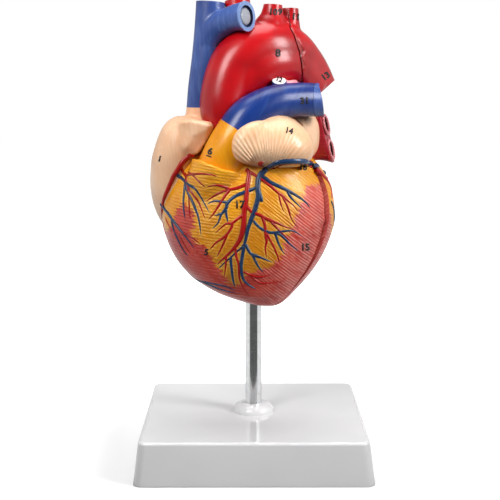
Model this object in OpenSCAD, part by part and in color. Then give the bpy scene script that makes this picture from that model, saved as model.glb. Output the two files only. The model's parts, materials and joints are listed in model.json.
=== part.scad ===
// Life-size two-part human heart model on a steel post with a square base.
// Millimetres. X to the right as seen from the front, +Y to the back, +Z up.
// The post stands on the Z axis and the base rests on Z = 0.

/* [Base] */
// Width of the base where it rests on the table
base_w = 130; // [120:1:150]
// Inward slope of each side from bottom to top
base_draft = 2.5; // [1:0.5:4]
// Height of the base
base_h = 23.5; // [22:0.5:32]
// Wall of the moulded base shell
base_wall = 2.5; // [2:0.1:3.5]
// Corner radius of the base seen from above
base_corner_r = 5; // [3:0.5:10]
// Rounding of the top edge
base_edge_r = 2; // [1:0.25:3]
// Thickness of the ribs under the base
rib_t = 2; // [1.5:0.25:3]
// Diameter of the boss that carries the post
boss_d = 24; // [22:1:32]

/* [Post] */
// Diameter of the steel post
post_d = 9.5; // [8:0.5:11]
// Free height from the top of the base to the heart's lowest point
post_free = 68.5; // [50:0.5:100]
// Length of post held inside the heart
socket_depth = 28; // [20:1:30]
// Wall of the socket liner
socket_wall = 2; // [1.5:0.1:2.5]
// Radial running clearance of the post in its bores
post_clearance = 0.06; // [0.03:0.01:0.1]
// Diameter of the collar around the foot of the post
flange_d = 24; // [20:0.5:32]
// Height of the collar's dome above the base
flange_h = 5; // [3:0.5:8]
// Diameter of the collar's neck inside the boss
spigot_d = 15; // [14:0.5:17]
// Depth of the collar's neck inside the boss
spigot_depth = 7; // [5:0.5:8]
// Diameter of the screw that holds the post
screw_d = 5; // [4:0.5:6]
// Screw length under the head
screw_len = 14; // [12:1:18]
// Height of the screw's pan head
screw_head_h = 2.6; // [2:0.1:3]
// Thickness of the washer under the head
washer_t = 0.8; // [0.5:0.1:1]

/* [Seam between the halves] */
// Turn of the cut about the vertical, seen from above
seam_yaw = 11.5; // [8:0.5:14]
// Backward lean of the cut
seam_lean = 8.5; // [6:0.5:11]
// Gap left between the two halves
seam_gap = 0.8; // [0.6:0.1:1.2]
// Width of the rear half's rim that shows on the right
rim_w = 2.6; // [1:0.1:4]
// Diameter of the holding magnets
magnet_d = 6; // [4:0.5:7]
// Thickness of the holding magnets
magnet_t = 2; // [1.5:0.1:3]

/* [Walls] */
// Wall of the right ventricle and of the atria
thin_wall = 4.5; // [3.5:0.1:5.5]
// Septum between the two ventricles
septum_t = 9; // [7:0.5:11]
// Wall of the great vessels
vessel_wall = 2.2; // [1.6:0.1:3]

/* [Vessels] */
// Radius of the aortic arch
aorta_r = 13.5; // [12:0.25:15]
// Radius of the pulmonary trunk at its root
pulmonary_r = 12.2; // [11:0.25:13]
// Radius of the superior vena cava
cava_r = 7.9; // [7:0.1:8.5]
// Radius of the pulmonary vein openings
lung_vein_r = 5; // [4:0.25:6]
// Radius of the main coronary arteries
coronary_r = 1.9; // [1.5:0.1:2.4]
// Radius of the main heart veins
heart_vein_r = 1.7; // [1.3:0.1:2.2]

/* [Hidden] */

$fn = 48;
post_r = post_d / 2;
bore_r = post_r + post_clearance;
boss_floor_z = 7;               // underside of the boss floor, above the table
boss_floor_t = 3;
play = 0.3;                     // gap between pieces that move past each other
socket_mouth_h = 9;             // height of the socket's mouth in the heart
post_bottom_z = boss_floor_z + boss_floor_t + play;
socket_r = bore_r + socket_wall;
fit = 0.1;                      // gap round a liner or magnet that is glued in
far = 400;                      // larger than the whole heart

// Horizontal outlines: [height, left, right, front, back]. The heart's heights start at heart_z.
VENTRICLES = [
    [1.8, 3, 12.5, -33, -21], [3.2, -4, 16, -36.5, -14], [6, -13.5, 19.5, -39.5, -8.5],
    [9.5, -22.5, 23, -42.5, -2], [15, -32, 28.5, -45, 6], [22.5, -40.5, 34.5, -47.5, 12],
    [32, -46.5, 40, -49.5, 16], [44, -50.8, 44.3, -50.5, 19], [54, -51.5, 45, -50.5, 20],
    [64, -49, 43.5, -49.5, 20], [73, -44.5, 39.5, -47.5, 18.5], [80, -39, 34.5, -44.5, 15.5],
    [86, -31, 27.5, -39.5, 11], [90, -20, 17, -32, 4],
];
RIGHT_ATRIUM = [
    [43, -50, -43, -14, 0], [48, -53.5, -38, -20, 8], [56, -56.5, -33, -26, 13],
    [66, -58, -31, -30, 16], [76, -57.5, -30, -32, 17], [83, -56, -29, -33.5, 16.5],
    [91, -53, -25.5, -34.5, 14], [98, -49.5, -22, -34, 9], [102, -46.5, -21.5, -31.5, 4],
    [104.5, -42, -26, -27, -3],
];
LEFT_ATRIUM = [
    [77, -4, 27, -10, 18], [81, -10, 33, -19, 25], [86, -14, 36.5, -25, 29.5],
    [92, -15, 37.5, -27, 31], [100, -14, 37, -26, 30], [106, -9, 33.5, -19, 25],
    [109.5, 0, 26, -8, 17],
];
LEFT_AURICLE = [
    [79, -3, 25, -46, -27], [82, -10, 30, -51, -23], [87, -15, 32, -54.5, -21],
    [92.5, -15, 31.5, -54.5, -20], [98.5, -11, 28, -52, -20], [104, -3.5, 21.5, -46, -22],
    [107.5, 4, 13, -40, -27],
];
LEFT_CAVITY = [
    [13, 18, 22, -26, -20], [18, 13, 26, -31, -12], [26, 8.5, 29, -34.5, -5],
    [38, 4.5, 32, -36.5, 3], [52, 1, 34, -37, 6.5], [64, 0, 32, -35, 7],
    [74, 1, 27, -30, 5], [82, 4, 21, -22, 0],
];
RIGHT_CAVITY = [
    [14, -24, -12, -34, -24], [20, -33, -4, -39, -12], [30, -41, 4, -44, -2],
    [42, -46, 10, -46, 6], [54, -46.5, 10, -46, 10], [64, -44, 5, -45, 10],
    [72, -39, 0, -43, 7], [80, -31, -5, -39, 0],
];

heart_z = base_h + post_free - VENTRICLES[0][0];
post_top_z = heart_z + socket_mouth_h + socket_depth;

// Vessel centre lines: [x, y, height, radius].
AORTA = [
    [-4, -16, 76, 9.5], [-9, -21.5, 87, 10.6], [-13.2, -24.5, 98.5, 12.4], [-15.8, -26, 109, aorta_r],
    [-14.8, -25.5, 120, aorta_r], [-9.6, -23.5, 131.5, 13.7], [-1, -20.5, 139, 14.3],
    [9, -15.5, 142, 14.8], [18.5, -7.2, 139.5, 14.4], [26, 1.8, 132.3, 13.4], [30.5, 7.3, 126, 12.7],
    [33.5, 11.3, 120.5, 12.3],
];
PULMONARY = [
    [-20, -31, 70, pulmonary_r], [-18.5, -36, 77, pulmonary_r], [-15.8, -38.3, 84, 12],
    [-12.3, -39, 91, 11.8], [-8.5, -39, 97.7, 11.3], [-3.5, -38.3, 104.8, 10.6], [4.5, -36.3, 110.4, 9.8],
    [13.5, -33, 113.6, 9.2], [22.5, -28, 114.2, 9], [28, -21.5, 114, 8.9], [30, -13, 113.5, 8.9],
];
CAVA = [
    [-30.3, -17, 98, cava_r], [-29, -18, 110, cava_r], [-28, -18.5, 121, cava_r],
    [-26, -18.5, 136, cava_r], [-24.5, -18, 151, cava_r], [-23.4, -17.5, 166.5, cava_r],
];
VEIN = [
    [-25.5, -18.5, 144, 7.6], [-20, -22, 152.5, 7.4], [-11, -28.5, 157.3, 7], [-3.8, -33.5, 158.3, 8.1],
];
BRACHIOCEPHALIC = [[-6, -19.2, 143, 10], [-7.5, -16.8, 153, 7.6], [-9, -14.8, 167.5, 7]];
CAROTID = [[7, -17, 144, 10], [9.5, -15.5, 155, 8.2], [10.2, -14.6, 160, 5.6], [10.4, -14.4, 165.2, 4.7]];
SUBCLAVIAN = [[19, -8, 142, 8], [20, -5.5, 153, 5.2], [20.2, -4.6, 162.5, 4.4]];
RIGHT_LUNG_ARTERY = [
    [27, -12, 113.5, 8.3], [15, -3, 113, 8], [0, 3, 112, 7.8], [-17, 7, 110.5, 7.6], [-34, 9, 109.5, 7.6],
];
LIGAMENT = [[2, -25, 116, 5.4], [8, -26.5, 119.5, 5.8], [15, -26, 122, 6], [22, -22, 123.5, 5.4]];
LOWER_CAVA = [[-39, 4, 62, 9.5], [-38, 9, 46, 9.2], [-37.5, 13, 30.5, 9]];
RIGHT_LUNG_VEINS = [
    [[-2, 14, 99, 7], [-14, 22, 99.5, 6.8], [-28, 26, 100.5, 7]],
    [[-2, 16, 86, 7], [-14, 24, 85, 6.8], [-28, 28, 83.5, 7]],
];
// End face of the left pulmonary veins: [x, height] of its upper and lower end.
LEFT_LUNG_END = [[38.5, 106.5], [45.5, 78]];
LEFT_LUNG_OPENINGS = [[41, 99.7], [44, 85.8]];
root_rings = 4;                 // pulmonary rings painted as the root, the rest as the trunk

// Coronary vessels on the front: [x, height] of each branch, then its share of the full radius.
FRONT_ARTERIES = [
    [[[-4, 78], [-2.5, 71], [-3.5, 62], [-4.5, 54], [-5.5, 47], [-9, 39], [-14, 33], [-20.5, 27]], 1],
    [[[-3, 72.5], [3.5, 69], [9.5, 63.5], [14.5, 60], [21.5, 54.5], [26, 50.5]], 0.8],
    [[[-4, 55.5], [-0.5, 50.5], [6, 47.5], [13, 44], [20.5, 41]], 0.75],
    [[[5.5, 48], [6.5, 42], [8, 37.5], [12, 31], [14.5, 24]], 0.75],
    [[[-4, 66.5], [-12.5, 64.5], [-19, 62], [-26, 57.5]], 0.75],
    [[[-12.5, 64.5], [-16.5, 59], [-21.5, 52.5], [-26.5, 47]], 0.7],
    [[[-5, 50], [-11.5, 45.5], [-16, 38.5], [-23.5, 31]], 0.7],
    [[[-35, 81.8], [-38.5, 78.5], [-42, 73], [-45.5, 66], [-48.2, 58], [-49, 49], [-48, 40]], 1.05],
    [[[-40, 76], [-36, 72.5], [-28, 73.5], [-20.5, 72.5]], 0.7],
    [[[-35, 68], [-31.5, 61.5], [-27.5, 53], [-25, 46.5]], 0.7],
    [[[-9, 33], [-7, 24], [-6.5, 15], [-2, 7.5]], 0.65],
    [[[-4, 24], [3, 20.5], [10, 21.5], [15, 23.5]], 0.75],
    [[[7.5, 79.5], [15.5, 79.5], [24, 80], [30, 77.5], [34, 73]], 0.85],
];
FRONT_VEINS = [
    [[[34, 74.5], [26, 81], [17.5, 81.5], [9.5, 78.5], [4.5, 74], [3, 66.5], [2.5, 60], [0, 53],
      [-1.5, 46], [-4, 36.5], [-10.5, 30.5], [-19, 24.5]], 1],
    [[[4, 72.5], [11, 68], [19, 64], [26, 58.5], [31.5, 52.5]], 0.85],
    [[[2.5, 65.5], [-6, 62.5], [-14, 58.5], [-17, 52], [-22, 46], [-25.5, 41.5]], 0.8],
    [[[-4, 36], [0.5, 30], [7.5, 27.5], [14, 25]], 0.8],
    [[[1, 49], [6, 44], [13.5, 41.5], [20, 42.5], [24.5, 42]], 0.75],
    [[[-44, 72.5], [-37.5, 68], [-33, 62.5], [-29, 56.5], [-24.5, 50]], 0.8],
    [[[-38, 67.5], [-38.5, 59], [-37.5, 50], [-36.5, 45]], 0.75],
    [[[-50.5, 55.5], [-45.5, 49], [-40.5, 41.5], [-36, 36], [-30.5, 29.5]], 0.85],
];
BACK_ARTERIES = [
    [[[-48, 40], [-44, 52], [-34, 62], [-20, 68], [-8, 70], [0, 64], [2, 50], [4, 36], [8, 24]], 1],
    [[[34, 73], [39, 68], [36, 62], [26, 58], [20, 48], [18, 36]], 0.8],
    [[[0, 62], [10, 52], [14, 42]], 0.7],
];
BACK_VEINS = [
    [[[35, 72], [28, 73.5], [16, 75], [0, 75.5], [-14, 73.5], [-24, 68.5]], 1.6],
    [[[-8, 74], [-5, 62], [-4, 48], [-1, 34], [4, 22]], 1],
    [[[22, 73.5], [26, 64], [29, 50], [27, 38]], 0.85],
];
// Magnets: [x, height] on the cut.
MAGNETS = [[10, 8.5], [35, 50], [-2, 80], [-49, 72]];
// Papillary muscles: foot [x, y, height, radius], waist and tip.
PAPILLARY = [
    [[30, -8, 27, 6], [27, -9, 38, 4.4], [23, -9, 50, 2.2]],
    [[17, 5, 27, 5.5], [17, 1, 38, 4.2], [16, -3, 50, 2]],
    [[-33, -17, 26, 5], [-33, -14, 36, 3.8], [-33, -11, 46, 1.8]],
    [[-16, 4, 30, 4.5], [-19, 1, 39, 3.4], [-22, -2, 47, 1.6]],
];
MITRAL = [13, -2, 80, 11.5];        // centre and radius of the ring
TRICUSPID = [-33, -2, 72, 10.5];
mitral_tilt = [-28, 8, 0];
tricuspid_tilt = [-12, -38, 0];
leaflet_drop = 15;
leaflet_t = 1.1;

// ---------- curves ----------

function unit(v) = v / norm(v);

// Point at share t between b and c on the smooth curve through a, b, c and d.
function curve_point(a, b, c, d, t) =
    b + 0.5 * t * (c - a + t * (2 * a - 5 * b + 4 * c - d + t * (3 * (b - c) + d - a)));

// The keys with steps - 1 more points between each two.
function smooth(keys, steps) = [
    for (i = [0 : len(keys) - 2], k = [0 : steps - 1])
        curve_point(keys[max(i - 1, 0)], keys[i], keys[i + 1], keys[min(i + 2, len(keys) - 1)], k / steps),
    keys[len(keys) - 1],
];

function signed_pow(v, p) = sign(v) * pow(abs(v), p);

// Horizontal outline drawn in by inset, from [height, left, right, front, back].
function outline(s, points, square, inset) = [
    for (i = [0 : points - 1])
        let (a = 360 * i / points)
        [
            (s[1] + s[2]) / 2 + ((s[2] - s[1]) / 2 - inset) * signed_pow(cos(a), 2 / square),
            (s[3] + s[4]) / 2 + ((s[4] - s[3]) / 2 - inset) * signed_pow(sin(a), 2 / square),
            s[0],
        ],
];

function at(path, i) = [path[i][0], path[i][1], path[i][2]];

function directions(path) = [
    for (i = [0 : len(path) - 1]) unit(at(path, min(i + 1, len(path) - 1)) - at(path, max(i - 1, 0))),
];

// Side directions that turn as little as possible along the path.
function sides_along(dirs) = [
    for (
        i = 0, s = unit(cross(dirs[0], abs(dirs[0][0]) < 0.7 ? [1, 0, 0] : [0, 1, 0]));
        i < len(dirs);
        i = i + 1, s = i < len(dirs) ? unit(s - (s * dirs[i]) * dirs[i]) : s
    ) s,
];

// Rings of a round tube along [x, y, z, radius] points.
function tube_rings(path, points, inset) =
    let (dirs = directions(path), across = sides_along(dirs)) [
        for (i = [0 : len(path) - 1]) [
            for (k = [0 : points - 1])
                at(path, i) + (path[i][3] - inset)
                    * (cos(360 * k / points) * across[i] + sin(360 * k / points) * cross(dirs[i], across[i])),
        ],
    ];

// Closed skin over rings of equally many points, with flat ends.
module skin(rings) {
    n = len(rings[0]);
    last = len(rings) - 1;
    polyhedron(
        points = [for (r = rings, p = r) p],
        faces = concat(
            [[for (k = [0 : n - 1]) k]],
            [
                for (i = [0 : last - 1], k = [0 : n - 1], half = [0, 1])
                    let (a = i * n + k, b = i * n + (k + 1) % n)
                    half == 0 ? [a, a + n, b] : [b, a + n, b + n],
            ],
            [[for (k = [n - 1 : -1 : 0]) last * n + k]]
        )
    );
}

module tube(path, points = 14, inset = 0, steps = 1) {
    skin(tube_rings(smooth(path, steps), points, inset));
}

// Path with its two ends moved out by reach, for cutting bores that open at both ends.
function run_on(path, reach) =
    let (
        n = len(path) - 1,
        a = at(path, 0) - reach * unit(at(path, 1) - at(path, 0)),
        b = at(path, n) + reach * unit(at(path, n) - at(path, n - 1))
    )
    [
        for (i = [0 : n])
            let (p = i == 0 ? a : i == n ? b : at(path, i))
            [p[0], p[1], p[2], path[i][3]],
    ];

module bore(path, points = 14, wall = vessel_wall) {
    skin(tube_rings(run_on(path, 2), points, wall));
}

module blob(slices, points = 24, square = 2.2, inset = 0, steps = 1) {
    skin([for (s = smooth(slices, steps)) outline(s, points, square, inset)]);
}

// Joins, cuts and meets what it holds as one smooth skin.
module one_skin() {
    resize([0, 0, 0]) children();
}

// ---------- the cut between the halves ----------

seam_y = -23.5;                 // where the cut crosses the middle of the ventricles
seam_h = 55;

module on_seam() {
    translate([0, seam_y, seam_h]) rotate([0, 0, -seam_yaw]) rotate([-seam_lean, 0, 0]) children();
}

module rear_space() {
    on_seam() translate([-far / 2, seam_gap / 2, -far / 2]) cube(far);
}

module front_space() {
    on_seam() translate([-far / 2, -far - seam_gap / 2, -far / 2]) cube(far);
}

// Place on the cut with this x and height, its Z axis towards the front.
module at_seam(x, h) {
    on_seam() translate([x / cos(seam_yaw), 0, (h - seam_h) / cos(seam_lean)]) rotate([90, 0, 0]) children();
}

// ---------- shared solids of the heart ----------

SQUARE = 2.25;                  // how full the outlines are: 2 is an ellipse

module ventricle_body() {
    blob(VENTRICLES, 36, SQUARE);
}

// The front half ends short of the rim on the right.
module front_body() {
    share = [for (s = VENTRICLES) max(0, min(1, (s[0] - 8) / 36, (96 - s[0]) / 20))];
    blob(
        [
            for (i = [0 : len(VENTRICLES) - 1])
                let (s = VENTRICLES[i])
                [s[0], s[1] + 0.3 * rim_w * share[i], s[2] - rim_w * share[i], s[3], s[4]],
        ],
        36,
        SQUARE
    );
}

module left_chamber(inset = 0) {
    blob(LEFT_CAVITY, 20, 2, inset);
}

module right_chamber() {
    difference() {
        blob(RIGHT_CAVITY, 22, 2.1);
        left_chamber(-septum_t);
        translate([0, 0, -1]) cylinder(h = socket_mouth_h + socket_depth + 6, r = socket_r + thin_wall, $fn = 16);
        // never thinner than the wall on the outside
        difference() {
            translate([-far / 2, -far / 2, -1]) cube([far, far, far / 2]);
            blob(VENTRICLES, 24, SQUARE, thin_wall);
        }
    }
}

module valve_place(valve, tilt) {
    translate([valve[0], valve[1], valve[2]]) rotate(tilt) children();
}

// Passages from the atria into the ventricles.
module valve_holes() {
    valve_place(MITRAL, mitral_tilt) cylinder(h = 20, r = MITRAL[3] + fit, center = true, $fn = 16);
    valve_place(TRICUSPID, tricuspid_tilt) cylinder(h = 24, r = TRICUSPID[3] + fit, center = true, $fn = 16);
}

module chambers() {
    left_chamber();
    right_chamber();
    valve_holes();
    bore(AORTA);
    bore([for (i = [0 : 4]) PULMONARY[i]]);
}

module aorta_body() {
    tube(AORTA, 18);
}

module pulmonary_body() {
    tube(PULMONARY, 16);
}

module arch_branches() {
    tube(BRACHIOCEPHALIC);
    tube(CAROTID);
}

module right_atrium_body() {
    blob(RIGHT_ATRIUM, 24, 2.3);
}

module right_atrium_room() {
    blob(RIGHT_ATRIUM, 16, 2.2, thin_wall - 1);
}

module left_atrium_body() {
    blob(LEFT_ATRIUM, 24, 2.3);
}

module left_atrium_room() {
    blob(LEFT_ATRIUM, 16, 2.2, thin_wall - 1);
}

// Small vessels lying half sunk in the surface: front is true for the front of the heart.
function slice_at(h) =
    let (
        rows = VENTRICLES,
        i = max([for (k = [0 : len(rows) - 2]) if (rows[k][0] <= h) k])
    )
    rows[i] + (rows[i + 1] - rows[i]) * (h - rows[i][0]) / (rows[i + 1][0] - rows[i][0]);

function on_surface(x, h, front) =
    let (
        s = slice_at(h),
        share = min(1, abs(x - (s[1] + s[2]) / 2) / ((s[2] - s[1]) / 2)),
        depth = (s[4] - s[3]) / 2 * pow(1 - pow(share, SQUARE), 1 / SQUARE)
    )
    [x, (s[3] + s[4]) / 2 + (front ? -depth : depth), h];

module relief(branches, r, front) {
    for (branch = branches) {
        keys = branch[0];
        n = len(keys) - 1;
        rings = [
            for (i = [0 : n])
                let (p = on_surface(keys[i][0], keys[i][1], front))
                [p[0], p[1], p[2], r * branch[1] * (1 - 0.45 * i / n)],
        ];
        skin(tube_rings(rings, 5, 0));
    }
}

// ---------- stand ----------

module rounded_block(w, h, draft, corner, edge) {
    hull() for (x = [-1, 1], y = [-1, 1]) {
        translate([x * (w / 2 - corner), y * (w / 2 - corner), 0]) cylinder(h = 0.6, r = corner, $fn = 32);
        translate([x * (w / 2 - draft - corner), y * (w / 2 - draft - corner), h - edge])
            rotate_extrude($fn = 32) {
                translate([corner - edge, 0]) intersection() {
                    circle(edge, $fn = 24);
                    square(edge);
                }
                square([corner - edge, edge]);
            }
    }
}

module base_shell() {
    color("white") difference() {
        rounded_block(base_w, base_h, base_draft, base_corner_r, base_edge_r);
        difference() {
            translate([0, 0, -1]) hull() for (x = [-1, 1], y = [-1, 1])
                translate([x, y] * (base_w / 2 - base_draft - base_wall - base_corner_r))
                    cylinder(h = base_h - base_wall + 1, r = base_corner_r, $fn = 16);
            translate([0, 0, boss_floor_z]) cylinder(h = base_h, d = boss_d);
            for (turn = [45, 135]) rotate(turn)
                translate([-base_w, -rib_t / 2, boss_floor_z]) cube([2 * base_w, rib_t, base_h]);
        }
        translate([0, 0, boss_floor_z + boss_floor_t]) cylinder(h = base_h, r = bore_r);
        translate([0, 0, base_h - spigot_depth]) cylinder(h = base_h, d = spigot_d + 2 * fit);
        translate([0, 0, -1]) cylinder(h = base_h, d = screw_d + 2 * fit);
    }
}

module post_flange() {
    rim = 1;
    color("whitesmoke") rotate_extrude() difference() {
        union() {
            translate([0, base_h - spigot_depth]) square([spigot_d / 2, spigot_depth + rim]);
            translate([0, base_h]) square([flange_d / 2, rim]);
            translate([0, base_h + rim]) polygon([
                [0, 0],
                for (a = [0 : 15 : 90])
                    [post_r + 1.2 + (flange_d / 2 - post_r - 1.2) * cos(a), (flange_h - rim) * sin(a)],
                [0, flange_h - rim],
            ]);
        }
        translate([0, 0]) square([bore_r, 2 * base_h + flange_h]);
    }
}

module post() {
    color("silver") difference() {
        union() {
            translate([0, 0, post_bottom_z]) cylinder(h = post_top_z - 1 - post_bottom_z, r = post_r);
            translate([0, 0, post_top_z - 1]) cylinder(h = 1, r1 = post_r, r2 = post_r - 1);
        }
        translate([0, 0, post_bottom_z - 1]) cylinder(h = screw_len, d = screw_d);
    }
}

module post_washer() {
    color("silver") translate([0, 0, boss_floor_z - play - washer_t]) difference() {
        cylinder(h = washer_t, d = 2.4 * screw_d);
        translate([0, 0, -1]) cylinder(h = washer_t + 2, d = screw_d + 2 * fit);
    }
}

module post_screw() {
    head_z = boss_floor_z - play - washer_t - screw_head_h;
    color("gray") difference() {
        union() {
            translate([0, 0, head_z]) cylinder(h = screw_head_h, d = 1.9 * screw_d);
            translate([0, 0, head_z]) cylinder(h = screw_head_h + screw_len, r = screw_d / 2 - 0.02);
        }
        for (turn = [0, 90]) rotate(turn)
            translate([-screw_d / 2, -0.5, head_z - 1]) cube([screw_d, 1, 2.4]);
    }
}

// ---------- rear half ----------

module rod_socket() {
    color("ivory") translate([0, 0, heart_z + socket_mouth_h]) difference() {
        cylinder(h = socket_depth + play + socket_wall, r = socket_r);
        translate([0, 0, -1]) cylinder(h = socket_depth + play + 1, r = bore_r);
    }
}

module socket_hole() {
    translate([0, 0, -10])
        cylinder(h = 10 + socket_mouth_h + socket_depth + play + socket_wall + fit, r = socket_r + fit, $fn = 24);
}

module magnet_pockets() {
    for (m = MAGNETS) at_seam(m[0], m[1])
        cylinder(h = 2 * (magnet_t + fit) + seam_gap, d = magnet_d + 2 * fit, center = true, $fn = 16);
}

module rear_ventricles() {
    color("firebrick") translate([0, 0, heart_z]) one_skin() difference() {
        intersection() {
            ventricle_body();
            rear_space();
        }
        chambers();
        socket_hole();
        magnet_pockets();
    }
}

module right_atrium() {
    color("burlywood") translate([0, 0, heart_z]) one_skin() difference() {
        intersection() {
            right_atrium_body();
            rear_space();
        }
        right_atrium_room();
        ventricle_body();
        left_atrium_body();
        valve_holes();
        bore(LOWER_CAVA, 12);
        magnet_pockets();
    }
}

module left_atrium() {
    color("burlywood") translate([0, 0, heart_z]) one_skin() difference() {
        intersection() {
            left_atrium_body();
            rear_space();
        }
        left_atrium_room();
        ventricle_body();
        valve_holes();
        bore(RIGHT_LUNG_VEINS[0], 10);
        bore(RIGHT_LUNG_VEINS[1], 10);
        left_vein_openings();
    }
}

// Part of the arch that reaches behind the cut.
arch_end = [for (i = [6 : 11]) AORTA[i]];

module descending_aorta() {
    color("crimson") translate([0, 0, heart_z]) one_skin() difference() {
        intersection() {
            tube(arch_end, 18);
            rear_space();
        }
        bore(arch_end, 16);
    }
}

module left_subclavian_artery() {
    color("crimson") translate([0, 0, heart_z]) one_skin() difference() {
        intersection() {
            tube(SUBCLAVIAN);
            rear_space();
        }
        aorta_body();
        tube(arch_end, 18);
        bore(SUBCLAVIAN);
    }
}

// Part of the pulmonary path that reaches behind the cut.
lung_end = [for (i = [7 : 10]) PULMONARY[i]];

module left_pulmonary_artery() {
    color("royalblue") translate([0, 0, heart_z]) one_skin() difference() {
        intersection() {
            tube(lung_end, 16);
            rear_space();
        }
        bore(lung_end, 14);
        bore(RIGHT_LUNG_ARTERY);
        left_atrium_body();
        aorta_body();
    }
}

module right_pulmonary_artery() {
    color("royalblue") translate([0, 0, heart_z]) one_skin() difference() {
        intersection() {
            tube(RIGHT_LUNG_ARTERY);
            rear_space();
        }
        bore(RIGHT_LUNG_ARTERY);
        tube(lung_end, 16);
        left_atrium_body();
        aorta_body();
        right_atrium_body();
    }
}

module left_vein_openings() {
    for (p = LEFT_LUNG_OPENINGS)
        translate([p[0] - 14, 0, p[1]]) rotate([0, 90, 0]) cylinder(h = 20, r = lung_vein_r, $fn = 14);
}

module left_pulmonary_veins() {
    top = LEFT_LUNG_END[0];
    foot = LEFT_LUNG_END[1];
    mid_h = (top[1] + foot[1]) / 2;
    tall = (top[1] - foot[1]) / 2;
    color("darkred") translate([0, 0, heart_z]) one_skin() difference() {
        skin([
            for (step = [0, 0.35, 0.7, 1]) [
                for (k = [0 : 19])
                    let (
                        a = 18 * k,
                        size = 1 - 0.12 * sin(180 * step),
                        h = mid_h + size * tall * signed_pow(sin(a), 0.75),
                        end_x = foot[0] + (top[0] - foot[0]) * (h - foot[1]) / (top[1] - foot[1])
                    )
                    [end_x - 16 * (1 - step), size * (lung_vein_r + 2.2) * signed_pow(cos(a), 0.8), h],
            ],
        ]);
        left_vein_openings();
        left_atrium_body();
        ventricle_body();
        tube(lung_end, 16);
    }
}

module right_pulmonary_veins() {
    color("darkred") translate([0, 0, heart_z]) one_skin() difference() {
        for (path = RIGHT_LUNG_VEINS) tube(path, 12);
        for (path = RIGHT_LUNG_VEINS) bore(path, 10);
        left_atrium_body();
        right_atrium_body();
        ventricle_body();
    }
}

module inferior_vena_cava() {
    color("royalblue") translate([0, 0, heart_z]) one_skin() difference() {
        intersection() {
            tube(LOWER_CAVA);
            translate([-far / 2, -far / 2, RIGHT_ATRIUM[1][0] - far]) cube(far);
        }
        bore(LOWER_CAVA, 12);
        right_atrium_body();
        ventricle_body();
    }
}

// Funnel of leaflets hanging from a ring, with an oval mouth below.
module leaflets(r, drop) {
    rings = [
        for (side = [0, 1], step = [0 : 3])
            let (t = side == 0 ? step / 3 : 1 - step / 3, thick = side == 0 ? 0 : leaflet_t)
            [
                for (k = [0 : 15])
                    let (a = 22.5 * k, wave = 1.6 * t * cos(2 * a))
                    [
                        (r - thick - 0.28 * r * t) * cos(a),
                        (r - thick - 0.62 * r * t) * sin(a),
                        2 - (drop + wave) * t,
                    ],
            ],
    ];
    n = 16;
    count = len(rings);
    polyhedron(
        points = [for (ring = rings, p = ring) p],
        faces = [
            for (i = [0 : count - 1], k = [0 : n - 1], half = [0, 1])
                let (
                    j = (i + 1) % count,
                    a = i * n + k,
                    b = i * n + (k + 1) % n,
                    c = j * n + k,
                    d = j * n + (k + 1) % n
                )
                half == 0 ? [a, b, c] : [b, d, c],
        ]
    );
}

module mitral_valve() {
    color("cornsilk") translate([0, 0, heart_z]) one_skin() intersection() {
        valve_place(MITRAL, mitral_tilt) leaflets(MITRAL[3], leaflet_drop);
        rear_space();
    }
}

module tricuspid_valve() {
    color("cornsilk") translate([0, 0, heart_z]) one_skin() intersection() {
        valve_place(TRICUSPID, tricuspid_tilt) leaflets(TRICUSPID[3], leaflet_drop - 3);
        rear_space();
    }
}

module papillary_muscles() {
    color("indianred") translate([0, 0, heart_z]) one_skin() intersection() {
        for (path = PAPILLARY) tube(path, 10);
        union() {
            left_chamber();
            right_chamber();
        }
        rear_space();
    }
}

// Thin cords from each papillary tip up to the edge of its valve.
module chordae_tendineae() {
    spread = 4.5;
    color("cornsilk") translate([0, 0, heart_z]) one_skin() difference() {
        for (i = [0 : 3], k = [-1, 0, 1]) {
            tip = PAPILLARY[i][2];
            valve = i < 2 ? MITRAL : TRICUSPID;
            drop = i < 2 ? leaflet_drop : leaflet_drop - 3;
            mouth = [valve[0], valve[1], valve[2] - drop + 1.6];
            reach = [0.45 * (tip[0] - mouth[0]) + k * spread * 0.5, 0.45 * (tip[1] - mouth[1]) + k * spread * 0.5, 0];
            skin(tube_rings(
                [[tip[0], tip[1], tip[2] - 1.5, 0.6], [mouth[0] + reach[0], mouth[1] + reach[1], mouth[2], 0.5]], 5, 0
            ));
        }
        for (path = PAPILLARY) tube(path, 10);
        valve_place(MITRAL, mitral_tilt) leaflets(MITRAL[3], leaflet_drop);
        valve_place(TRICUSPID, tricuspid_tilt) leaflets(TRICUSPID[3], leaflet_drop - 3);
    }
}

module posterior_coronary_arteries() {
    color("darkred") translate([0, 0, heart_z]) one_skin() intersection() {
        difference() {
            relief(BACK_ARTERIES, coronary_r, false);
            ventricle_body();
            right_atrium_body();
            left_atrium_body();
            tube(LOWER_CAVA);
        }
        rear_space();
    }
}

module coronary_sinus() {
    color("midnightblue") translate([0, 0, heart_z]) one_skin() intersection() {
        difference() {
            relief(BACK_VEINS, heart_vein_r, false);
            relief(BACK_ARTERIES, coronary_r, false);
            ventricle_body();
            right_atrium_body();
            left_atrium_body();
            tube(LOWER_CAVA);
        }
        rear_space();
    }
}

module rear_magnets() {
    color("silver") translate([0, 0, heart_z]) for (m = MAGNETS) at_seam(m[0], m[1])
        translate([0, 0, -seam_gap / 2 - magnet_t]) cylinder(h = magnet_t, d = magnet_d);
}

// ---------- front half ----------

module front_ventricles() {
    color("goldenrod") translate([0, 0, heart_z]) one_skin() difference() {
        intersection() {
            front_body();
            front_space();
        }
        chambers();
        magnet_pockets();
    }
}

// Foot of the upper vein, moulded with the atrium up to where the blue piece starts.
cava_foot_rise = 5.5;           // how far the foot stands above the atrium
cava_foot_h = RIGHT_ATRIUM[len(RIGHT_ATRIUM) - 1][0] + cava_foot_rise;

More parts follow.
